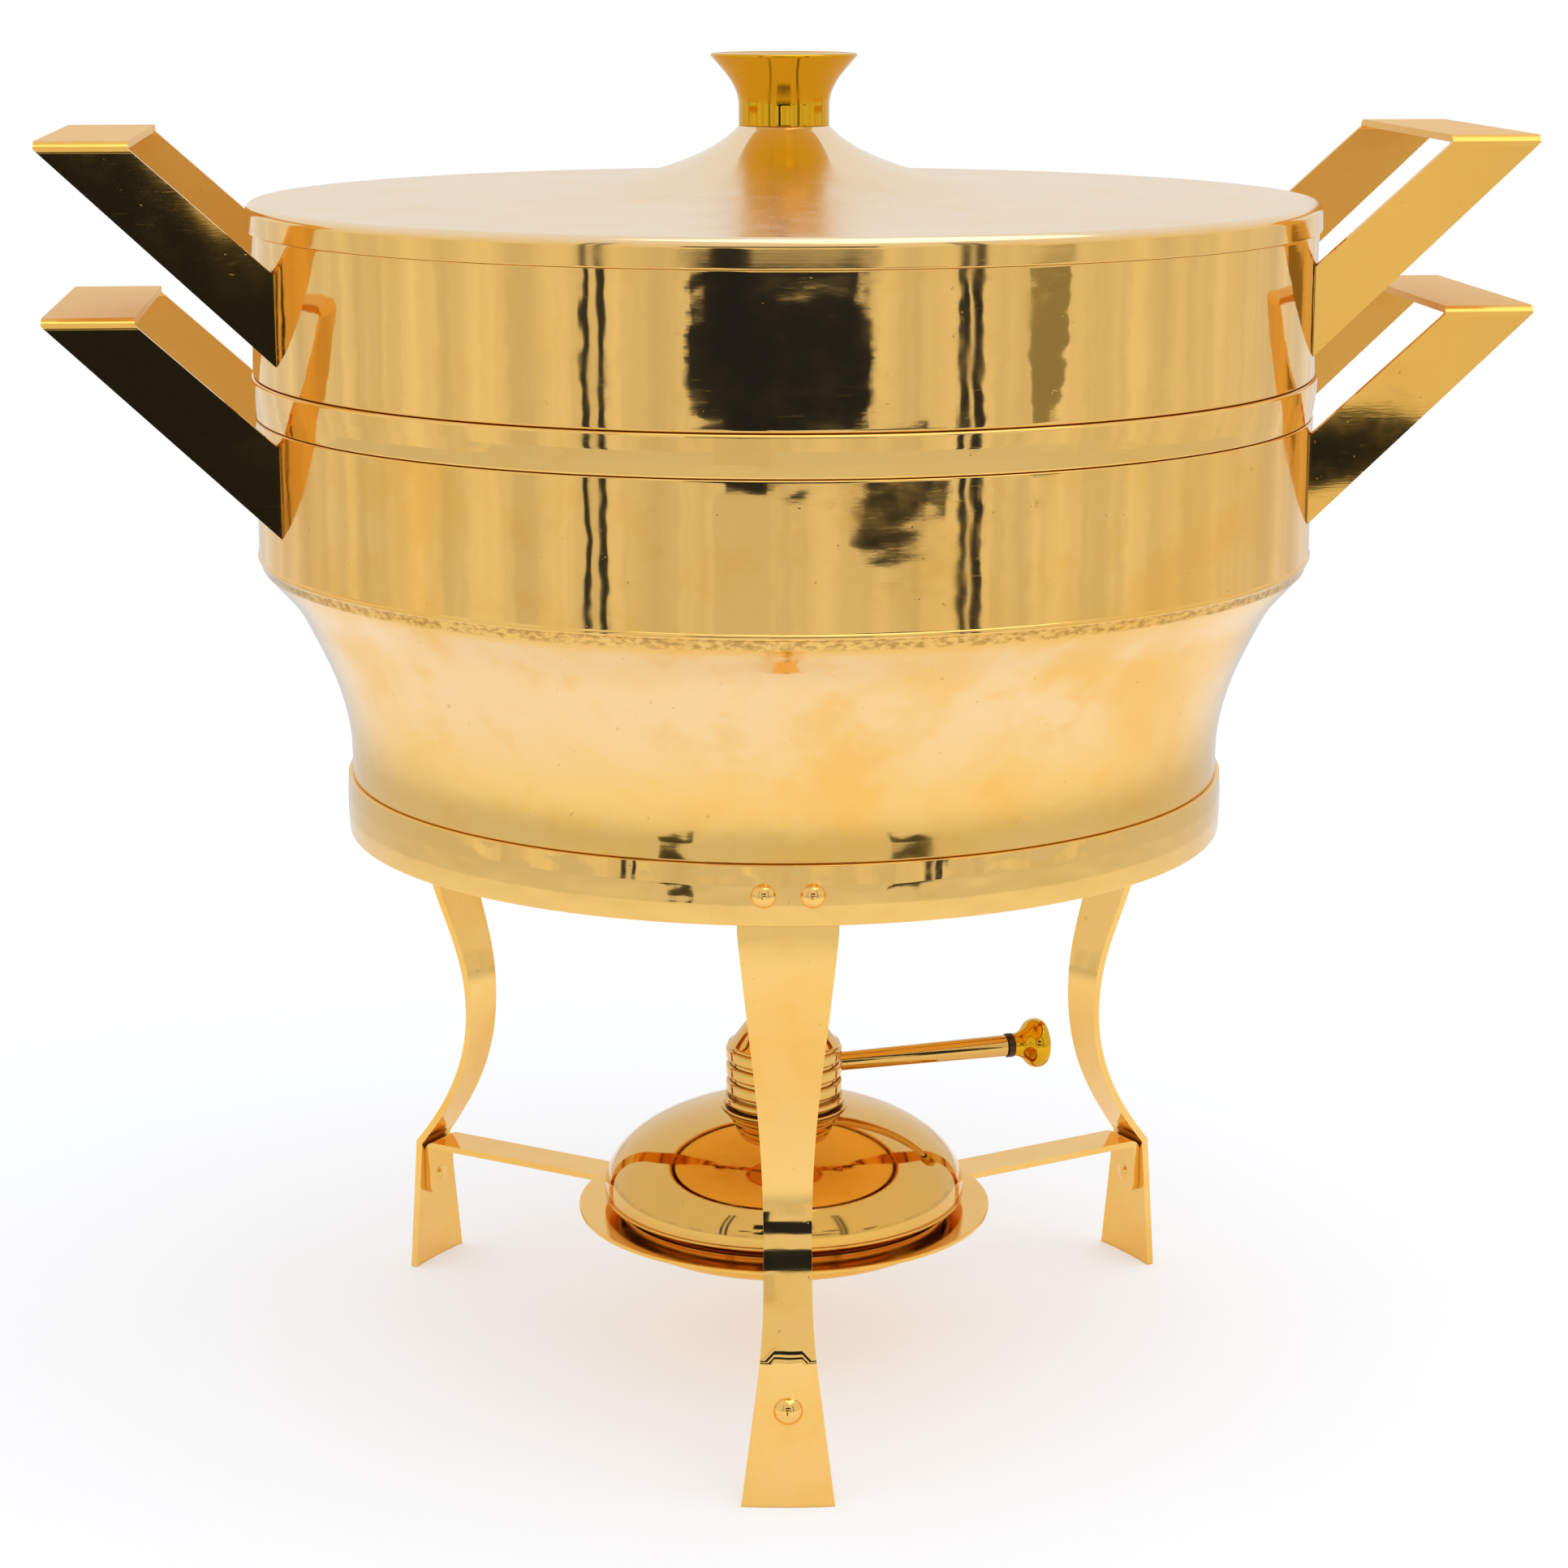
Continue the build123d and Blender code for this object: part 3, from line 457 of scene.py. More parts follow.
def eased(chain, closed):
    """The outline with its curved stretches drawn as smooth curves through their points."""
    count = len(chain)
    points = [Vector(p) for p in chain]

    def on_curve(i):
        if not closed and i in (0, count - 1):
            return False
        before = points[i] - points[i - 1]
        after = points[(i + 1) % count] - points[i]
        return GENTLE_BEND < before.angle(after) < SHARP_BEND

    result = []
    for i in range(count if closed else count - 1):
        n = (i + 1) % count
        result.append(tuple(points[i]))
        if not (on_curve(i) and on_curve(n)):
            continue
        # A cubic curve from b to c, whose slopes at its ends follow a and d too
        a, b, c, d = points[i - 1], points[i], points[n], points[(n + 1) % count]
        before, span, after = (b - a).length, (c - b).length, (d - c).length
        leave = ((b - a).normalized() * span + (c - b) * (before / span)) / (before + span) * span
        arrive = ((c - b) * (after / span) + (d - c).normalized() * span) / (after + span) * span
        for k in range(1, CURVE_STEPS):
            t = k / CURVE_STEPS
            bend = (2 * t**3 - 3 * t**2 + 1) * b + (t**3 - 2 * t**2 + t) * leave
            bend += (3 * t**2 - 2 * t**3) * c + (t**3 - t**2) * arrive
            result.append(tuple(bend))
    if not closed:
        result.append(tuple(points[-1]))
    return result


def rounded(chain, closed, radius):
    """The outline with each sharp corner rounded off."""
    count = len(chain)
    result = []
    for i, point in enumerate(chain):
        here = Vector(point)
        if not closed and i in (0, count - 1):
            result.append(here)
            continue
        before = Vector(chain[i - 1]) - here
        after = Vector(chain[(i + 1) % count]) - here
        turn = math.pi - before.angle(after)
        cut = min(radius * math.tan(turn / 2), CORNER_SHARE * before.length, CORNER_SHARE * after.length)
        if turn < SHARP_BEND or cut < LEAST_CORNER:
            result.append(here)
            continue
        start = here + before.normalized() * cut
        end = here + after.normalized() * cut
        for k in range(CORNER_STEPS + 1):
            t = k / CORNER_STEPS
            result.append(start * (1 - t) ** 2 + here * (2 * t * (1 - t)) + end * t**2)
    return result


def held_straight(points, closed):
    """The outline with a point near each end of its long straights, so that they shade as straight."""
    result = []
    for start, end in zip(points, points[1:] + points[:1]):
        result.append(start)
        along = end - start
        if along.length > LONG_STRAIGHT:
            step = along.normalized() * HOLD_REACH
            result += [start + step, end - step]
    return result if closed else result[:result.index(points[-1]) + 1]


def ring(bm, radius, height, steps):
    """A ring of points round the axis, or one point on the axis, given as often."""
    if radius <= ON_AXIS:
        return [bm.verts.new((0, 0, height))] * steps
    turns = [2 * math.pi * k / steps for k in range(steps)]
    return [bm.verts.new((radius * math.cos(turn), radius * math.sin(turn), height)) for turn in turns]


def join_rings(bm, low, high):
    """Faces between two rings, three-sided where one of them is a point."""
    for k in range(len(low)):
        n = (k + 1) % len(low)
        bm.faces.new(list(dict.fromkeys((low[k], low[n], high[n], high[k]))))


def new_object(name, mesh):
    """An object holding the mesh, in the scene."""
    piece = bpy.data.objects.new(name, mesh)
    bpy.context.scene.collection.objects.link(piece)
    return piece


def turned(node, steps, edge_radius, axes):
    """A smooth turned mesh with the outline of a CAD node."""
    mesh = bpy.data.meshes.new(f"{node}_turned")
    bm = bmesh.new()
    for chain, closed in outlines(node, axes):
        points = held_straight(rounded(eased(chain, closed), closed, edge_radius), closed)
        rings = [ring(bm, radius, height, steps) for radius, height in points]
        if closed:
            rings.append(rings[0])
        for low, high in zip(rings, rings[1:]):
            join_rings(bm, low, high)
    bmesh.ops.recalc_face_normals(bm, faces=bm.faces)
    bm.transform(axes)
    bm.to_mesh(mesh)
    bm.free()
    mesh.shade_smooth()
    mesh.set_sharp_from_angle(angle=SHADE_BREAK)
    return new_object(f"{node}_turned", mesh)


def filed(node, edge_radius):
    """A copy of a node of strip metal, welded up and with its edges filed."""
    bm = bmesh.new()
    bm.from_mesh(frame["nodes"][node].data)
    bmesh.ops.remove_doubles(bm, verts=bm.verts, dist=SAME_PLACE)
    bmesh.ops.dissolve_limit(
        bm, angle_limit=FLAT_WITHIN, verts=bm.verts, edges=bm.edges, use_dissolve_boundaries=False)
    bmesh.ops.recalc_face_normals(bm, faces=bm.faces)
    mesh = bpy.data.meshes.new(f"{node}_filed")
    bm.to_mesh(mesh)
    bm.free()
    mesh.shade_smooth()
    piece = new_object(f"{node}_filed", mesh)
    bevel = piece.modifiers.new("filed edge", "BEVEL")
    bevel.width = edge_radius
    bevel.segments = FILED_STEPS
    bevel.limit_method = "ANGLE"
    bevel.angle_limit = FILED_BEND
    bevel.harden_normals = False
    normals = piece.modifiers.new("even normals", "WEIGHTED_NORMAL")
    normals.keep_sharp = True
    normals.weight = FLAT_WEIGHT
    return piece


# Materials

class Nodes:
    """A short way to add shader nodes and join them up."""

    def __init__(self, tree):
        self.tree = tree
        tree.nodes.clear()

    def add(self, kind, attributes=None, **inputs):
        """Adds a node; each input is a value or another node's output socket."""
        node = self.tree.nodes.new(kind)
        for key, value in (attributes or {}).items():
            setattr(node, key, value)
        for key, value in inputs.items():
            self.feed(node.inputs[key.replace("_", " ")], value)
        return node

    def feed(self, socket, value):
        """Joins an output to a socket, or sets the socket's own value."""
        if isinstance(value, bpy.types.NodeSocket):
            self.tree.links.new(value, socket)
        else:
            socket.default_value = value

    def place(self):
        """The place of a point on its piece, in metres."""
        return self.add("ShaderNodeTexCoord").outputs["Object"]

    def math(self, operation, *values):
        """A Math node's output."""
        node = self.add("ShaderNodeMath", {"operation": operation})
        for socket, value in zip(node.inputs, values):
            self.feed(socket, value)
        return node.outputs[0]

    def mix(self, share, first, second):
        """A colour between two colours."""
        node = self.add("ShaderNodeMix", {"data_type": "RGBA"})
        for socket, value in ((node.inputs[0], share), (node.inputs[6], first), (node.inputs[7], second)):
            self.feed(socket, value)
        return node.outputs[2]

    def spread(self, value, low, high, to_low=0.0, to_high=1.0):
        """A value stretched from one range to another, and held inside it."""
        node = self.add("ShaderNodeMapRange", {"interpolation_type": "SMOOTHSTEP"})
        for socket, number in zip(node.inputs, (value, low, high, to_low, to_high)):
            self.feed(socket, number)
        return node.outputs[0]

    def zone(self, level, heights):
        """1 between two pairs of heights: it rises over the first pair and falls over the second."""
        return self.math("MULTIPLY", self.spread(level, *heights[0]), self.spread(level, *heights[1]))

    def noise(self, place, scale, detail=2.0, roughness=0.5, distortion=0.0):
        """Soft noise over a place, about 0 to 1."""
        node = self.add(
            "ShaderNodeTexNoise", Vector=place, Scale=scale, Detail=detail, Roughness=roughness,
            Distortion=distortion)
        return node.outputs["Fac"]

    def stretched_noise(self, place, waves, detail=2.0):
        """Noise with its own waves to the metre across and up the piece."""
        across, up = waves
        scaled = self.add("ShaderNodeMapping", Vector=place, Scale=(across, across, up))
        return self.noise(scaled.outputs[0], 1.0, detail, roughness=0.55)

    def seen_by(self, *rays):
        """1 where a ray is of one of the named kinds."""
        path = self.add("ShaderNodeLightPath")
        total = path.outputs[rays[0]]
        for ray in rays[1:]:
            total = self.math("MAXIMUM", total, path.outputs[ray])
        return total

    def surface(self, colour, rough, height, metallic=0.0):
        """The finished surface; height is its relief in metres."""
        bump = self.add("ShaderNodeBump", Height=height, Distance=1.0, Strength=1.0)
        self.show(self.add(
            "ShaderNodeBsdfPrincipled", Base_Color=colour, Roughness=rough, Metallic=metallic,
            Normal=bump.outputs[0]))

    def show(self, shader):
        """Makes a shader the material's surface."""
        self.add("ShaderNodeOutputMaterial", Surface=shader.outputs[0])


def new_material(name):
    """An empty material, and its nodes."""
    material = bpy.data.materials.new(name)
    material.use_nodes = True
    return material, Nodes(material.node_tree)


def made_material(name):
    """A finish that an earlier piece has."""
    material = bpy.data.materials.get(name)
    if material is None:
        raise RuntimeError(f"{name} isn't made yet: dress the lid and the burner first")
    return material


def from_level(level, *pairs):
    """Pairs of heights, measured from a level of the piece."""
    return tuple(tuple(level + height for height in pair) for pair in pairs)


class BrassMarks:
    """Marks of wear and polishing over a piece, each from 0 to 1; the seams' mark is painted shade together with
    grime.
    """

    def __init__(self, nodes, place, tarnish, seed):
        shifted = nodes.add("ShaderNodeVectorMath", {"operation": "ADD"})
        nodes.feed(shifted.inputs[0], place)
        nodes.feed(shifted.inputs[1], (seed, 2 * seed, -seed))
        self.spot = shifted.outputs[0]
        self.clouds = nodes.noise(self.spot, CLOUD_WAVES, detail=5.0, roughness=0.55, distortion=0.4)
        levels = [level - lowering * tarnish for level, lowering in zip(PATCH_LEVELS, PATCH_LOWERING)]
        self.patches = nodes.spread(self.clouds, *levels)
        self.smears = nodes.noise(self.spot, SMEAR_WAVES, detail=4.0, roughness=0.6)
        self.hairlines = nodes.stretched_noise(self.spot, HAIRLINE_WAVES)
        self.pits = nodes.spread(nodes.noise(self.spot, PIT_WAVES), *PIT_LEVELS)
        reach = bpy.context.scene.dish_brass.seam_reach
        # Seams darken where the surroundings close in: painted shade, together with grime
        seams = nodes.add(
            "ShaderNodeAmbientOcclusion", {"samples": SEAM_SAMPLES, "only_local": False}, Distance=reach)
        self.grime_and_shade = nodes.spread(seams.outputs["AO"], *SEAM_LEVELS)


def brass_colour(nodes, marks, level, clean, tarnish, pale, grime_and_shade_ring):
    """Clean metal, paler under a painted highlight where one is given, under patches and mottling of tarnish, with
    grime in its pits, grime and painted shade in its seams, and a ring of grime and painted shade where one is
    given.
    """
    brass = bpy.context.scene.dish_brass
    metal = tuple(clean or brass.bright)
    # A paler tone where the brass shows its brightest reflections, broken up by the clouds: painted highlight
    if pale:
        paler, heights = pale
        highlight_share = nodes.zone(level, heights)
        highlight_share = nodes.math("MULTIPLY", highlight_share, nodes.spread(marks.clouds, *HIGHLIGHT_BREAKUP_LEVELS, 1 - tarnish, 1.0))
        metal = nodes.mix(highlight_share, metal, tuple(paler))
    patches = nodes.math("MULTIPLY", marks.patches, PATCH_TONE + PATCH_TARNISH_TONE * tarnish)
    colour = nodes.mix(patches, metal, brass.warm)
    mottle = nodes.math("MULTIPLY", nodes.spread(marks.smears, *MOTTLE_LEVELS), MOTTLE_TONE * tarnish)
    colour = nodes.mix(mottle, colour, brass.warm)
    colour = nodes.mix(nodes.math("MULTIPLY", marks.pits, PIT_TONE * tarnish), colour, brass.grime_and_shade)
    # Painted shade and grime in the seams
    colour = nodes.mix(nodes.math("MULTIPLY", marks.grime_and_shade, SEAM_TONE), colour, brass.grime_and_shade)
    # A speckled dark band under the moulding: grime and painted shade
    if grime_and_shade_ring:
        crumbs = nodes.stretched_noise(marks.spot, CRUMB_WAVES, detail=3.0)
        crumbs = nodes.spread(crumbs, *CRUMB_LEVELS, *CRUMB_TONES)
        colour = nodes.mix(nodes.math("MULTIPLY", nodes.zone(level, grime_and_shade_ring), crumbs), colour, brass.grime_and_shade)
    return colour


def brass_roughness(nodes, marks, across, level, dull, haze, satin_inside):
    """Roughness of the polish, more where it is tarnished, smeared, scratched or hazed."""
    brass = bpy.context.scene.dish_brass
    rough = nodes.math("MULTIPLY_ADD", marks.patches, brass.dulling * PATCH_DULLING * dull, brass.roughness * dull)
    smears = nodes.spread(marks.smears, *SMEAR_LEVELS)
    rough = nodes.math("MULTIPLY_ADD", smears, brass.dulling * SMEAR_DULLING * dull, rough)
    hairlines = nodes.spread(marks.hairlines, *HAIRLINE_LEVELS)
    rough = nodes.math("MULTIPLY_ADD", hairlines, brass.dulling * HAIRLINE_DULLING, rough)
    rough = nodes.math("MULTIPLY_ADD", marks.grime_and_shade, SEAM_ROUGHNESS, rough)
    if haze:
        rough = nodes.math("MULTIPLY_ADD", nodes.zone(level, haze), HAZE_ROUGHNESS, rough)
    if satin_inside:
        inside = nodes.spread(nodes.math("ABSOLUTE", across), *satin_inside)
        rough = nodes.math("MULTIPLY_ADD", inside, SATIN_ROUGHNESS, rough)
    return rough


def turning_marks(nodes, spot):
    """Fine rings left by the lathe, which follow the distance out and the height."""
    x, y, z = nodes.add("ShaderNodeSeparateXYZ", Vector=spot).outputs
    out = nodes.math("SQRT", nodes.math("ADD", nodes.math("MULTIPLY", x, x), nodes.math("MULTIPLY", y, y)))
    rings = nodes.add(
        "ShaderNodeCombineXYZ", X=nodes.math("MULTIPLY", out, RING_WAVES),
        Y=nodes.math("MULTIPLY", z, RING_WAVES),
        Z=nodes.math("MULTIPLY", nodes.math("ARCTAN2", y, x), RING_BREAKS))
    return nodes.noise(rings.outputs[0], 1.0)


def brass_relief(nodes, marks, tarnish, ripple, turning, planished):
    """Relief of the ripples, hairlines, pits, turning marks, planishing and streaks, in metres."""
    brass = bpy.context.scene.dish_brass
    waves = nodes.noise(marks.spot, 1.0 / brass.ripple_size, detail=1.5, roughness=0.4)
    height = nodes.math("MULTIPLY", waves, brass.ripple * ripple)
    height = nodes.math("MULTIPLY_ADD", marks.hairlines, HAIRLINE_HEIGHT, height)
    height = nodes.math("MULTIPLY_ADD", marks.pits, -PIT_DEPTH * tarnish, height)
    if turning:
        height = nodes.math("MULTIPLY_ADD", turning_marks(nodes, marks.spot), RING_HEIGHT * turning, height)
    if planished:
        flats = nodes.stretched_noise(marks.spot, FLAT_WAVES, detail=1.0)
        height = nodes.math("MULTIPLY_ADD", flats, brass.planish * planished, height)
        streaks = nodes.stretched_noise(marks.spot, STREAK_WAVES)
        height = nodes.math("MULTIPLY_ADD", streaks, brass.streak * planished, height)
    return height


def polished_brass(
        name, clean=None, tarnish=0.5, ripple=1.0, dull=1.0, turning=0.0, planished=0.0, pale=None, haze=None,
        grime_and_shade_ring=None, satin_inside=None, seed=0.0):
    """Hand-polished brass: clouds of tarnish, grime and painted shade in the seams, soft ripples, hairlines and
    turning marks.

    haze and grime_and_shade_ring each hold two pairs of heights: the haze, or the ring of grime and painted
    shade, sets in over the first and ends over the second. pale holds a paler tone, a painted highlight, and its
    two pairs. satin_inside holds two distances from the middle plane, between which the polish gives way to the
    satin inside of a folded strip."""
    material, nodes = new_material(name)
    place = nodes.place()
    marks = BrassMarks(nodes, place, tarnish, seed)
    _, across, level = nodes.add("ShaderNodeSeparateXYZ", Vector=place).outputs
    nodes.surface(
        brass_colour(nodes, marks, level, clean, tarnish, pale, grime_and_shade_ring),
        brass_roughness(nodes, marks, across, level, dull, haze, satin_inside),
        brass_relief(nodes, marks, tarnish, ripple, turning, planished),
        metallic=1.0)
    return material


def scuffed_metal(name, tones, waves, depth, rough, metallic=1.0, levels=None):
    """Plain metal between two tones, with fine scuffs; levels sharpen the change from one tone to the other."""
    material, nodes = new_material(name)
    scuffs = nodes.noise(nodes.place(), waves, detail=3.0)
    share = nodes.spread(scuffs, *levels) if levels else scuffs
    nodes.surface(
        nodes.mix(share, *tones), nodes.spread(scuffs, 0, 1, *rough), nodes.math("MULTIPLY", scuffs, depth),
        metallic=metallic)
    return material


def singed_cotton(name):
    """Woven cotton wick, browned at its top."""
    tones = bpy.context.scene.dish_small_parts
    material, nodes = new_material(name)
    place = nodes.place()
    weave = nodes.add(
        "ShaderNodeTexWave", {"bands_direction": "DIAGONAL"}, Vector=place, Scale=WEAVE_WAVES, Distortion=1.5,
        Detail=2.0).outputs["Fac"]
    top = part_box("wick")[1].z
    level = nodes.add("ShaderNodeSeparateXYZ", Vector=place).outputs[2]
    colour = nodes.mix(weave, tones.cotton_low, tones.cotton_high)
    colour = nodes.mix(nodes.spread(level, top - SINGED_LENGTH, top), colour, tones.singed)
    nodes.surface(colour, nodes.spread(weave, 0, 1, *WEAVE_ROUGHNESS), nodes.math("MULTIPLY", weave, WEAVE_HEIGHT))
    return material


# Stage

def camera_sides(stage):
    """Level directions from the dish: towards the camera, and to the camera's right."""
    towards = Vector((-math.sin(stage.camera_turn), -math.cos(stage.camera_turn), 0))
    return towards, UP.cross(towards)


def floor_material(stage):
    """A matt pale floor that the camera and the brass see as white, with the dish's shadow kept."""
    material, nodes = new_material("pale_floor")
    matt = nodes.add("ShaderNodeBsdfDiffuse", Color=stage.floor_colour)
    out = nodes.add("ShaderNodeVectorMath", {"operation": "LENGTH"})
    nodes.feed(out.inputs[0], nodes.place())
    far = nodes.spread(out.outputs["Value"], *FLOOR_FADE_DISTANCES)
    for_camera = nodes.math("MULTIPLY_ADD", far, stage.floor_fade, stage.floor_lift)
    for_brass = nodes.math("MULTIPLY_ADD", far, -BRASS_FADE * stage.floor_fade, stage.floor_lift)
    mirrored = nodes.math("MULTIPLY", nodes.seen_by("Is Glossy Ray", "Is Transmission Ray"), for_brass)
    lift = nodes.math("MULTIPLY_ADD", nodes.seen_by("Is Camera Ray"), for_camera, mirrored)
    glow = nodes.add("ShaderNodeEmission", Color=(1, 1, 1, 1), Strength=lift)
    both = nodes.add("ShaderNodeAddShader")
    nodes.feed(both.inputs[0], matt.outputs[0])
    nodes.feed(both.inputs[1], glow.outputs[0])
    nodes.show(both)
    return material


def cloth_material(name, tone):
    """Plain studio cloth."""
    material, nodes = new_material(name)
    nodes.show(nodes.add("ShaderNodeBsdfDiffuse", Color=tone))
    return material


def card_material(name, tone):
    """A white card as bright as the room behind it."""
    material, nodes = new_material(name)
    nodes.show(nodes.add("ShaderNodeEmission", Color=(tone, tone, tone, 1), Strength=1.0))
    return material


def lay_floor(stage):
    """The round pale floor."""
    bm = bmesh.new()
    bmesh.ops.create_circle(bm, cap_ends=True, segments=FLOOR_SIDES, radius=stage.floor_radius)
    mesh = bpy.data.meshes.new("floor")
    bm.to_mesh(mesh)
    bm.free()
    mesh.materials.append(floor_material(stage))
    new_object("floor", mesh)


def light_room(stage):
    """The white room: plain white to the camera, softly draped where the brass reflects it."""
    world = bpy.data.worlds.new("white_room")
    bpy.context.scene.world = world
    world.use_nodes = True
    nodes = Nodes(world.node_tree)
    direction = nodes.add("ShaderNodeTexCoord").outputs["Generated"]
    x, y, z = nodes.add("ShaderNodeSeparateXYZ", Vector=direction).outputs
    turn = nodes.math("ARCTAN2", x, y)
    drapes = nodes.add(
        "ShaderNodeCombineXYZ", X=nodes.math("MULTIPLY", turn, FOLDS_ROUND), Y=nodes.math("MULTIPLY", z, FOLDS_UP))
    folds = nodes.noise(drapes.outputs[0], 1.0, detail=4.0, roughness=0.6)
    folds = nodes.spread(folds, *FOLD_LEVELS, *FOLD_TONES)
    seen = nodes.mix(nodes.spread(z, *DRAPES_END), folds, (stage.upper_light,) * 3 + (1,))
    reflected = nodes.seen_by("Is Glossy Ray", "Is Transmission Ray")
    lit = nodes.mix(reflected, (stage.room_light,) * 3 + (1,), seen)
    shown = nodes.mix(nodes.seen_by("Is Camera Ray"), lit, (1, 1, 1, 1))
    background = nodes.add("ShaderNodeBackground", Color=shown, Strength=1.0)
    nodes.add("ShaderNodeOutputWorld", Surface=background.outputs[0])


def hang_softbox(stage):
    """A square softbox overhead, which faces the dish."""
    lamp = bpy.data.lights.new("overhead_softbox", "AREA")
    lamp.shape = "SQUARE"
    lamp.size = SOFTBOX_WIDTH
    lamp.energy = stage.softbox_power
    box = new_object("overhead_softbox", lamp)
    box.location = SOFTBOX_PLACE
    aim = Vector((0, 0, cad_box[1].z / 2)) - box.location
    box.rotation_mode = "QUATERNION"
    box.rotation_quaternion = aim.to_track_quat("-Z", "Y")


def hang_cloth(name, stage, distance, outline, material):
    """A flat cloth that stands across the camera's line, seen only in reflections."""
    towards, right = camera_sides(stage)
    corners = [towards * distance + right * across + UP * height for across, height in outline]
    mesh = bpy.data.meshes.new(name)
    mesh.from_pydata(corners, [], [tuple(range(len(corners)))])
    mesh.materials.append(material)
    cloth = new_object(name, mesh)
    cloth.visible_camera = False
    cloth.visible_diffuse = False
    cloth.visible_shadow = False
    cloth.visible_transmission = False


def straight_sided(left, right, low, high):
    """The outline of a straight-sided cloth."""
    return (left, low), (right, low), (right, high), (left, high)


def hang_cloths(stage):
    """The cloths, screen, card and poles that give the brass its dark reflections."""
    dark = cloth_material("dark_cloth", stage.dark_cloth)
    screen = cloth_material("grey_screen", stage.grey_screen)
    card = card_material("white_card", stage.card_tone)
    dim = cloth_material("dim_cloth", stage.dim_cloth)
    hang_cloth("camera_cloth", stage, CLOTH_DISTANCE, CAMERA_CLOTH, dark)
    hang_cloth("high_cloth", stage, CLOTH_DISTANCE, straight_sided(*HIGH_CLOTH), dark)
    hang_cloth("low_strip", stage, CLOTH_DISTANCE, LOW_STRIP, dark)
    hang_cloth("side_screen", stage, POLE_DISTANCE, SIDE_SCREEN, screen)
    hang_cloth("white_card", stage, NEAR_DISTANCE, straight_sided(*WHITE_CARD), card)
    for name, sides in POLES.items():
        hang_cloth(name, stage, POLE_DISTANCE, straight_sided(*sides, *POLE_HEIGHTS), dark)
    for name, outline in LOW_CLOTHS.items():
        hang_cloth(name, stage, NEAR_DISTANCE, outline, dim)


def set_camera(stage):
    """The camera, at the photograph's place and angle."""
    camera_data = bpy.data.cameras.new("camera")
    camera_data.sensor_width = SENSOR_WIDTH
    camera_data.lens = stage.camera_lens
    camera = new_object("camera", camera_data)
    towards, _ = camera_sides(stage)
    camera.location = towards * stage.camera_distance + UP * stage.camera_height
    look = -towards * math.cos(stage.camera_pitch) - UP * math.sin(stage.camera_pitch)
    camera.rotation_mode = "QUATERNION"
    camera.rotation_quaternion = look.to_track_quat("-Z", "Y")
    bpy.context.scene.camera = camera


# Dressing the nodes

def finish_piece(piece, node, material):
    """Puts a piece in its node's place, on its node's body, in its own finish."""
    piece.data.materials.clear()
    piece.data.materials.append(material)
    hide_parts(node)
    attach(piece, frame["nodes"][node]["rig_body"])


def dress_turned(nodes, material, steps, axes=UPRIGHT):
    """Replaces each turned node with a smooth turned piece."""
    finish = bpy.context.scene.dish_finish
    for node in nodes:
        finish_piece(turned(node, steps, finish.spun_edge, axes), node, material)


def dress_filed(nodes, material):
    """Replaces each node of strip metal with a piece that has filed edges."""
    finish = bpy.context.scene.dish_finish
    for node in nodes:
        finish_piece(filed(node, finish.strip_edge), node, material)


def dress_kept(nodes, material):
    """Gives CAD nodes that stay as they are their finish."""
    for node in nodes:
        piece = frame["nodes"][node]
        piece.data.materials.clear()
        piece.data.materials.append(material)


# Operators

class DISH_OT_lid(bpy.types.Operator):
    """Turns the lid, its locating ring, its knob, and the screw and washer under it"""
    bl_idname = "dish.lid"
    bl_label = "Lid"

    def execute(self, context):
        brass = context.scene.dish_brass
        finish = context.scene.dish_finish
        tones = context.scene.dish_small_parts
        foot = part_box("lid_shell")[0].z
        # The lid's top is painted paler, as a highlight
        spun = polished_brass(
            "lid_polish", tarnish=0.1, dull=1.8, turning=1.0,
            pale=(brass.pale, from_level(foot, LID_TOP_STARTS) + (OVER_ALL,)),
            haze=from_level(foot, *LID_HAZE))
        dress_turned(("lid_shell", "lid_locating_ring"), spun, finish.spin_steps)
        # The knob's deep tone is partly painted reflection of light bounced inside it
        knob = polished_brass("knob_polish", brass.amber_and_bounce, tarnish=0.3, ripple=0.3, turning=0.6, seed=0.4)
        dress_turned(("lid_knob",), knob, finish.small_steps)
        steel = scuffed_metal(
            "screw_steel", (tones.steel_low, tones.steel_high), waves=500.0, depth=0.00001, rough=(0.3, 0.5))
        dress_turned(("knob_screw", "knob_washer"), steel, finish.small_steps)
        return {"FINISHED"}


class DISH_OT_food_pan(bpy.types.Operator):
    """Turns the food pan and the band round its foot"""
    bl_idname = "dish.food_pan"
    bl_label = "Food pan"

    def execute(self, context):
        finish = context.scene.dish_finish
        spun = polished_brass("food_pan_polish", tarnish=0.35, turning=0.6, planished=1.0, seed=1.3)
        dress_turned(("food_pan_shell",), spun, finish.spin_steps)
        band = polished_brass("band_polish", tarnish=0.4, turning=0.6, planished=1.0, seed=2.1)
        dress_turned(("food_pan_band",), band, finish.spin_steps)
        return {"FINISHED"}


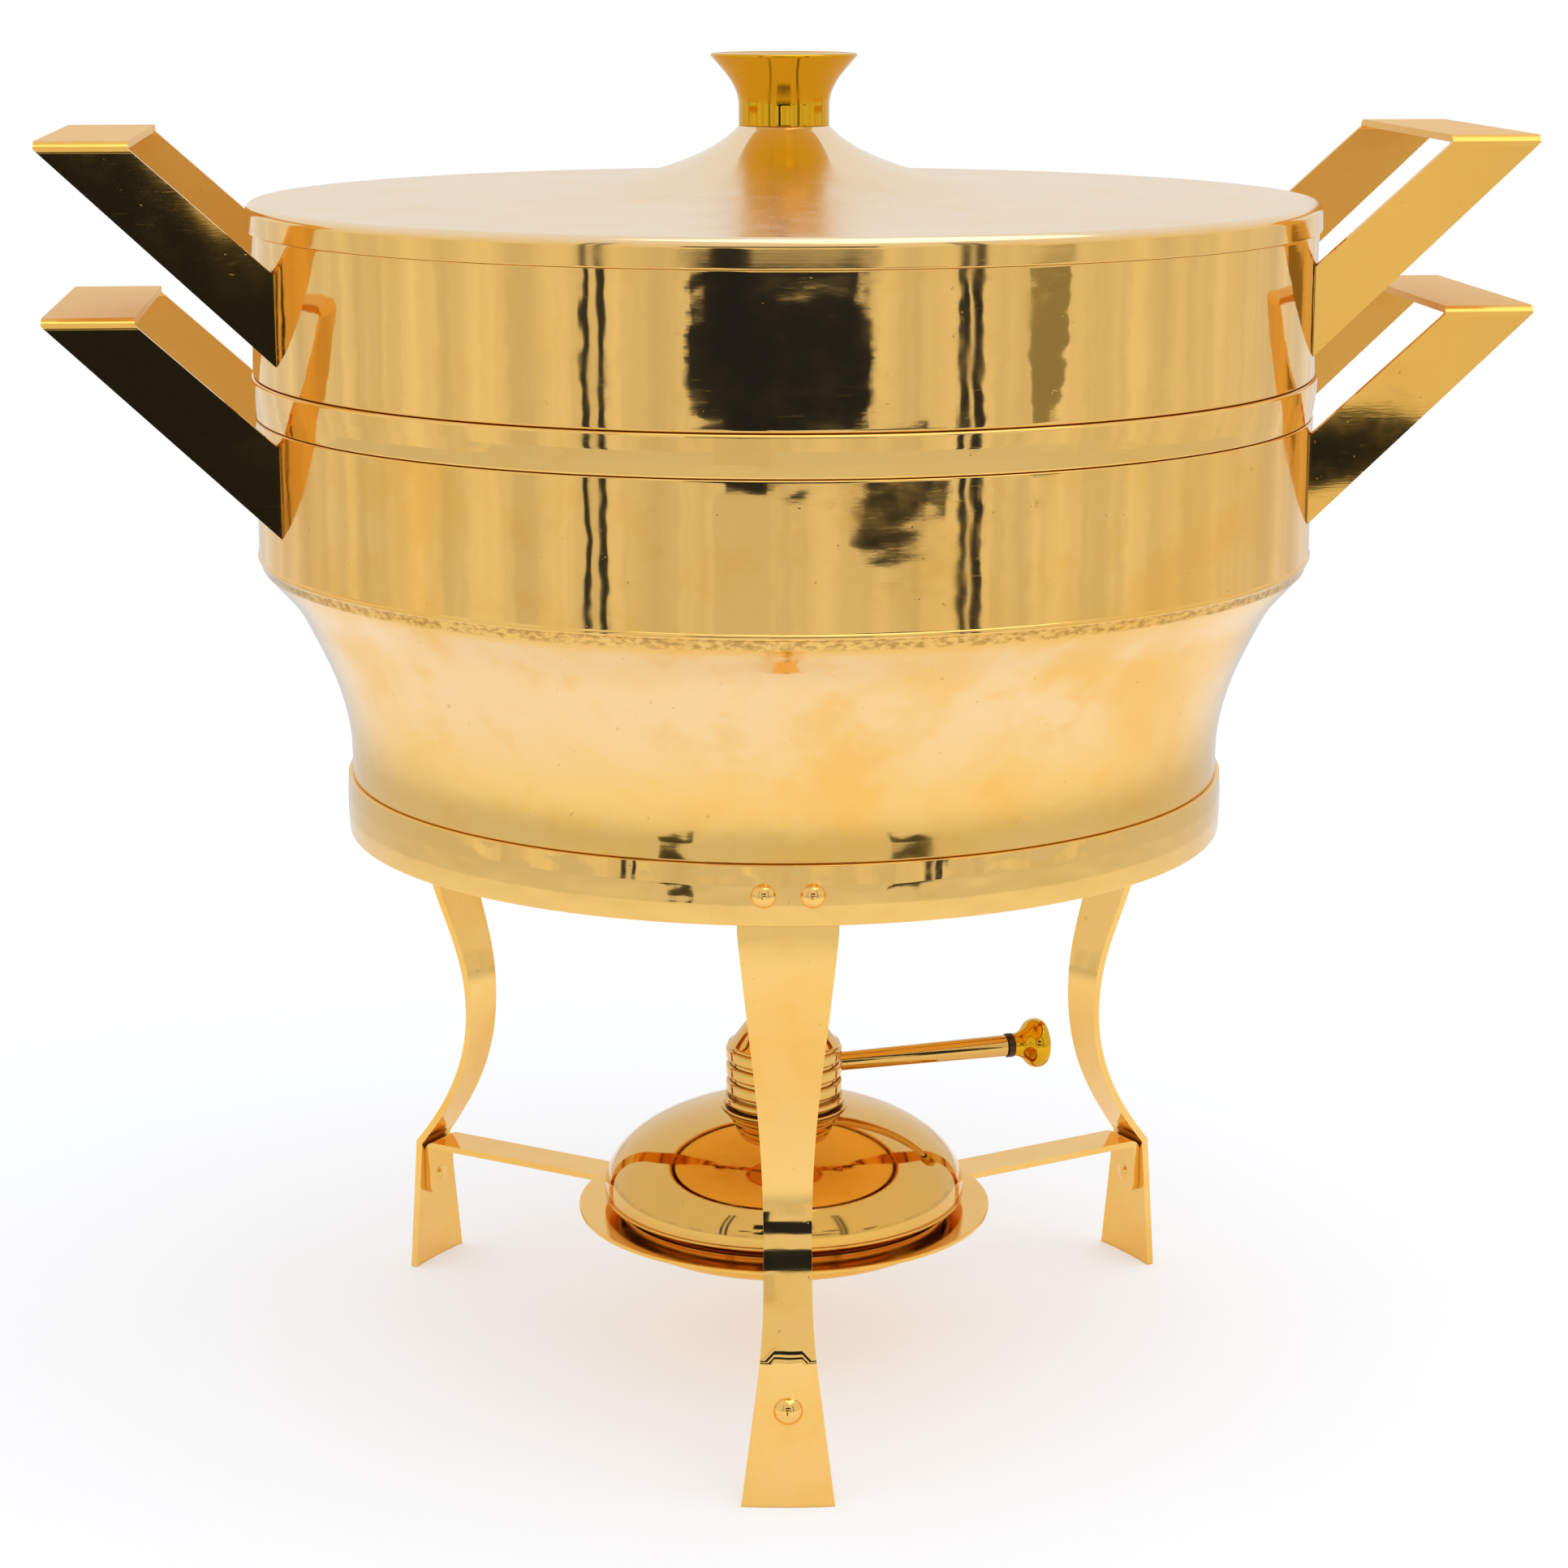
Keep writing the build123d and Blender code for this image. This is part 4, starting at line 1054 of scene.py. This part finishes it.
class DISH_OT_water_pan(bpy.types.Operator):
    """Turns the water pan"""
    bl_idname = "dish.water_pan"
    bl_label = "Water pan"

    def execute(self, context):
        brass = context.scene.dish_brass
        finish = context.scene.dish_finish
        foot, rim = (corner.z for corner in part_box("water_pan_shell"))
        spun = polished_brass(
            "water_pan_polish", tarnish=0.75, turning=0.6, planished=1.0, seed=3.7,
            # The flare is painted paler, as a highlight
            pale=(brass.flare_highlight, from_level(foot, FLARE_STARTS) + from_level(rim, FLARE_ENDS)),
            # The band under the moulding is darkened by grime and painted shade
            grime_and_shade_ring=from_level(rim, *MOULDING_GRIME_AND_SHADE))
        dress_turned(("water_pan_shell",), spun, finish.spin_steps)
        return {"FINISHED"}


class DISH_OT_handles(bpy.types.Operator):
    """Files the edges of the folded handles"""
    bl_idname = "dish.handles"
    bl_label = "Handles"

    def execute(self, context):
        brass = context.scene.dish_brass
        low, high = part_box("water_pan_handle_right")
        half = (high.y - low.y) / 2
        strip = polished_brass(
            "handle_polish", brass.handled, tarnish=0.4, ripple=0.7, dull=0.75, seed=5.2,
            satin_inside=[half - depth for depth in SATIN_DEPTHS])
        nodes = [f"{pan}_handle_{side}" for pan in ("water_pan", "food_pan") for side in ("right", "left")]
        dress_filed(nodes, strip)
        return {"FINISHED"}


class DISH_OT_stand(bpy.types.Operator):
    """Turns the hoop and tray, files the legs and spider arms, and finishes the rivets"""
    bl_idname = "dish.stand"
    bl_label = "Stand"

    def execute(self, context):
        brass = context.scene.dish_brass
        finish = context.scene.dish_finish
        hoop = polished_brass("hoop_polish", tarnish=0.35, planished=2.0, seed=6.4)
        dress_turned(("stand_hoop",), hoop, finish.spin_steps)
        tray = polished_brass("tray_polish", brass.handled, tarnish=0.6, dull=2.6, turning=1.0, seed=4.4)
        dress_turned(("burner_tray",), tray, finish.spin_steps)
        strap = polished_brass("stand_polish", tarnish=0.8, ripple=0.8, planished=0.7, seed=7.9)
        straps = [f"{kind}_{side}" for kind in ("leg", "spider_arm") for side in ("front", "right", "left")]
        dress_filed(straps, strap)
        rivet = polished_brass("rivet_polish", tarnish=0.3, ripple=0.2, seed=8.8)
        dress_kept(("hoop_rivets", "foot_rivets"), rivet)
        return {"FINISHED"}


class DISH_OT_burner(bpy.types.Operator):
    """Turns the burner's font, neck, wick tube and wick"""
    bl_idname = "dish.burner"
    bl_label = "Burner"

    def execute(self, context):
        brass = context.scene.dish_brass
        finish = context.scene.dish_finish
        # The burner's brass is darkened for the shade under the dish: painted shade
        font = polished_brass("font_polish", brass.under_dish_shade, tarnish=0.5, ripple=0.6, turning=0.5, seed=9.6)
        dress_turned(("font_lower", "font_upper"), font, finish.spin_steps)
        neck = polished_brass("neck_polish", brass.under_dish_shade, tarnish=0.5, ripple=0.3, turning=0.6, seed=10.2)
        dress_turned(("burner_neck", "wick_tube"), neck, finish.small_steps)
        dress_turned(("wick",), singed_cotton("wick_weave"), finish.small_steps)
        return {"FINISHED"}


class DISH_OT_regulator(bpy.types.Operator):
    """Files the ribbed sleeve, and turns its arm, the dark ferrule and the end knob"""
    bl_idname = "dish.regulator"
    bl_label = "Regulator"

    def execute(self, context):
        tones = context.scene.dish_small_parts
        steps = context.scene.dish_finish.small_steps
        # The neck's brass, darkened as painted shade under the dish
        neck = made_material("neck_polish")
        dress_filed(("regulator_sleeve",), neck)
        low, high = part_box("rod_ferrule")
        centre = (low + high) / 2
        axes = lying_axes(math.atan2(centre.y, centre.x), centre.z)
        dress_turned(("regulator_rod",), neck, steps, axes)
        brown = scuffed_metal(
            "ferrule_brown", (tones.ferrule_low, tones.ferrule_high), waves=900.0, depth=0.00002,
            rough=(0.25, 0.5), metallic=0.6, levels=(0.4, 0.7))
        dress_turned(("rod_ferrule",), brown, steps, axes)
        # The end knob shares the knob's deep tone, partly painted reflection
        dress_turned(("rod_knob",), made_material("knob_polish"), steps, axes)
        return {"FINISHED"}


class DISH_OT_snuffer(bpy.types.Operator):
    """Turns the snuffer cap and its button"""
    bl_idname = "dish.snuffer"
    bl_label = "Snuffer"

    def execute(self, context):
        steps = context.scene.dish_finish.small_steps
        # The neck's brass, darkened as painted shade under the dish
        dress_turned(("snuffer_cap",), made_material("neck_polish"), steps)
        # The button shares the knob's deep tone, partly painted reflection
        dress_turned(("snuffer_button",), made_material("knob_polish"), steps)
        return {"FINISHED"}


class DISH_OT_stage(bpy.types.Operator):
    """Sets up the floor, white room, softbox, cloths and camera"""
    bl_idname = "dish.stage"
    bl_label = "Stage"

    def execute(self, context):
        stage = context.scene.dish_stage
        lay_floor(stage)
        light_room(stage)
        hang_softbox(stage)
        hang_cloths(stage)
        set_camera(stage)
        context.scene.view_settings.view_transform = "Standard"
        return {"FINISHED"}


OPERATORS = (
    DISH_OT_lid,
    DISH_OT_food_pan,
    DISH_OT_water_pan,
    DISH_OT_handles,
    DISH_OT_stand,
    DISH_OT_burner,
    DISH_OT_regulator,
    DISH_OT_snuffer,
    DISH_OT_stage,
)


class DISH_PT_panel(bpy.types.Panel):
    """Lists the dish's pieces and settings"""
    bl_label = "Chafing dish"
    bl_idname = "DISH_PT_panel"
    bl_space_type = "VIEW_3D"
    bl_region_type = "UI"
    bl_category = "Dish"

    def draw(self, context):
        layout = self.layout
        scene = context.scene
        for operator in OPERATORS:
            layout.operator(operator.bl_idname)
        for settings in (scene.dish_brass, scene.dish_small_parts, scene.dish_finish, scene.dish_stage):
            box = layout.box()
            for key in settings.__annotations__:
                box.prop(settings, key)


CLASSES = (BrassSettings, SmallPartSettings, FinishSettings, StageSettings) + OPERATORS + (DISH_PT_panel,)


def register():
    """Adds the classes and their settings."""
    for cls in CLASSES:
        bpy.utils.register_class(cls)
    bpy.types.Scene.dish_brass = PointerProperty(type=BrassSettings)
    bpy.types.Scene.dish_small_parts = PointerProperty(type=SmallPartSettings)
    bpy.types.Scene.dish_finish = PointerProperty(type=FinishSettings)
    bpy.types.Scene.dish_stage = PointerProperty(type=StageSettings)


def unregister():
    """Takes the settings and classes away again."""
    del bpy.types.Scene.dish_stage
    del bpy.types.Scene.dish_finish
    del bpy.types.Scene.dish_small_parts
    del bpy.types.Scene.dish_brass
    for cls in reversed(CLASSES):
        bpy.utils.unregister_class(cls)


def main():
    """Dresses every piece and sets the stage."""
    register()
    bpy.ops.dish.lid()
    bpy.ops.dish.food_pan()
    bpy.ops.dish.water_pan()
    bpy.ops.dish.handles()
    bpy.ops.dish.stand()
    bpy.ops.dish.burner()
    bpy.ops.dish.regulator()
    bpy.ops.dish.snuffer()
    bpy.ops.dish.stage()


if __name__ == "__main__":
    main()
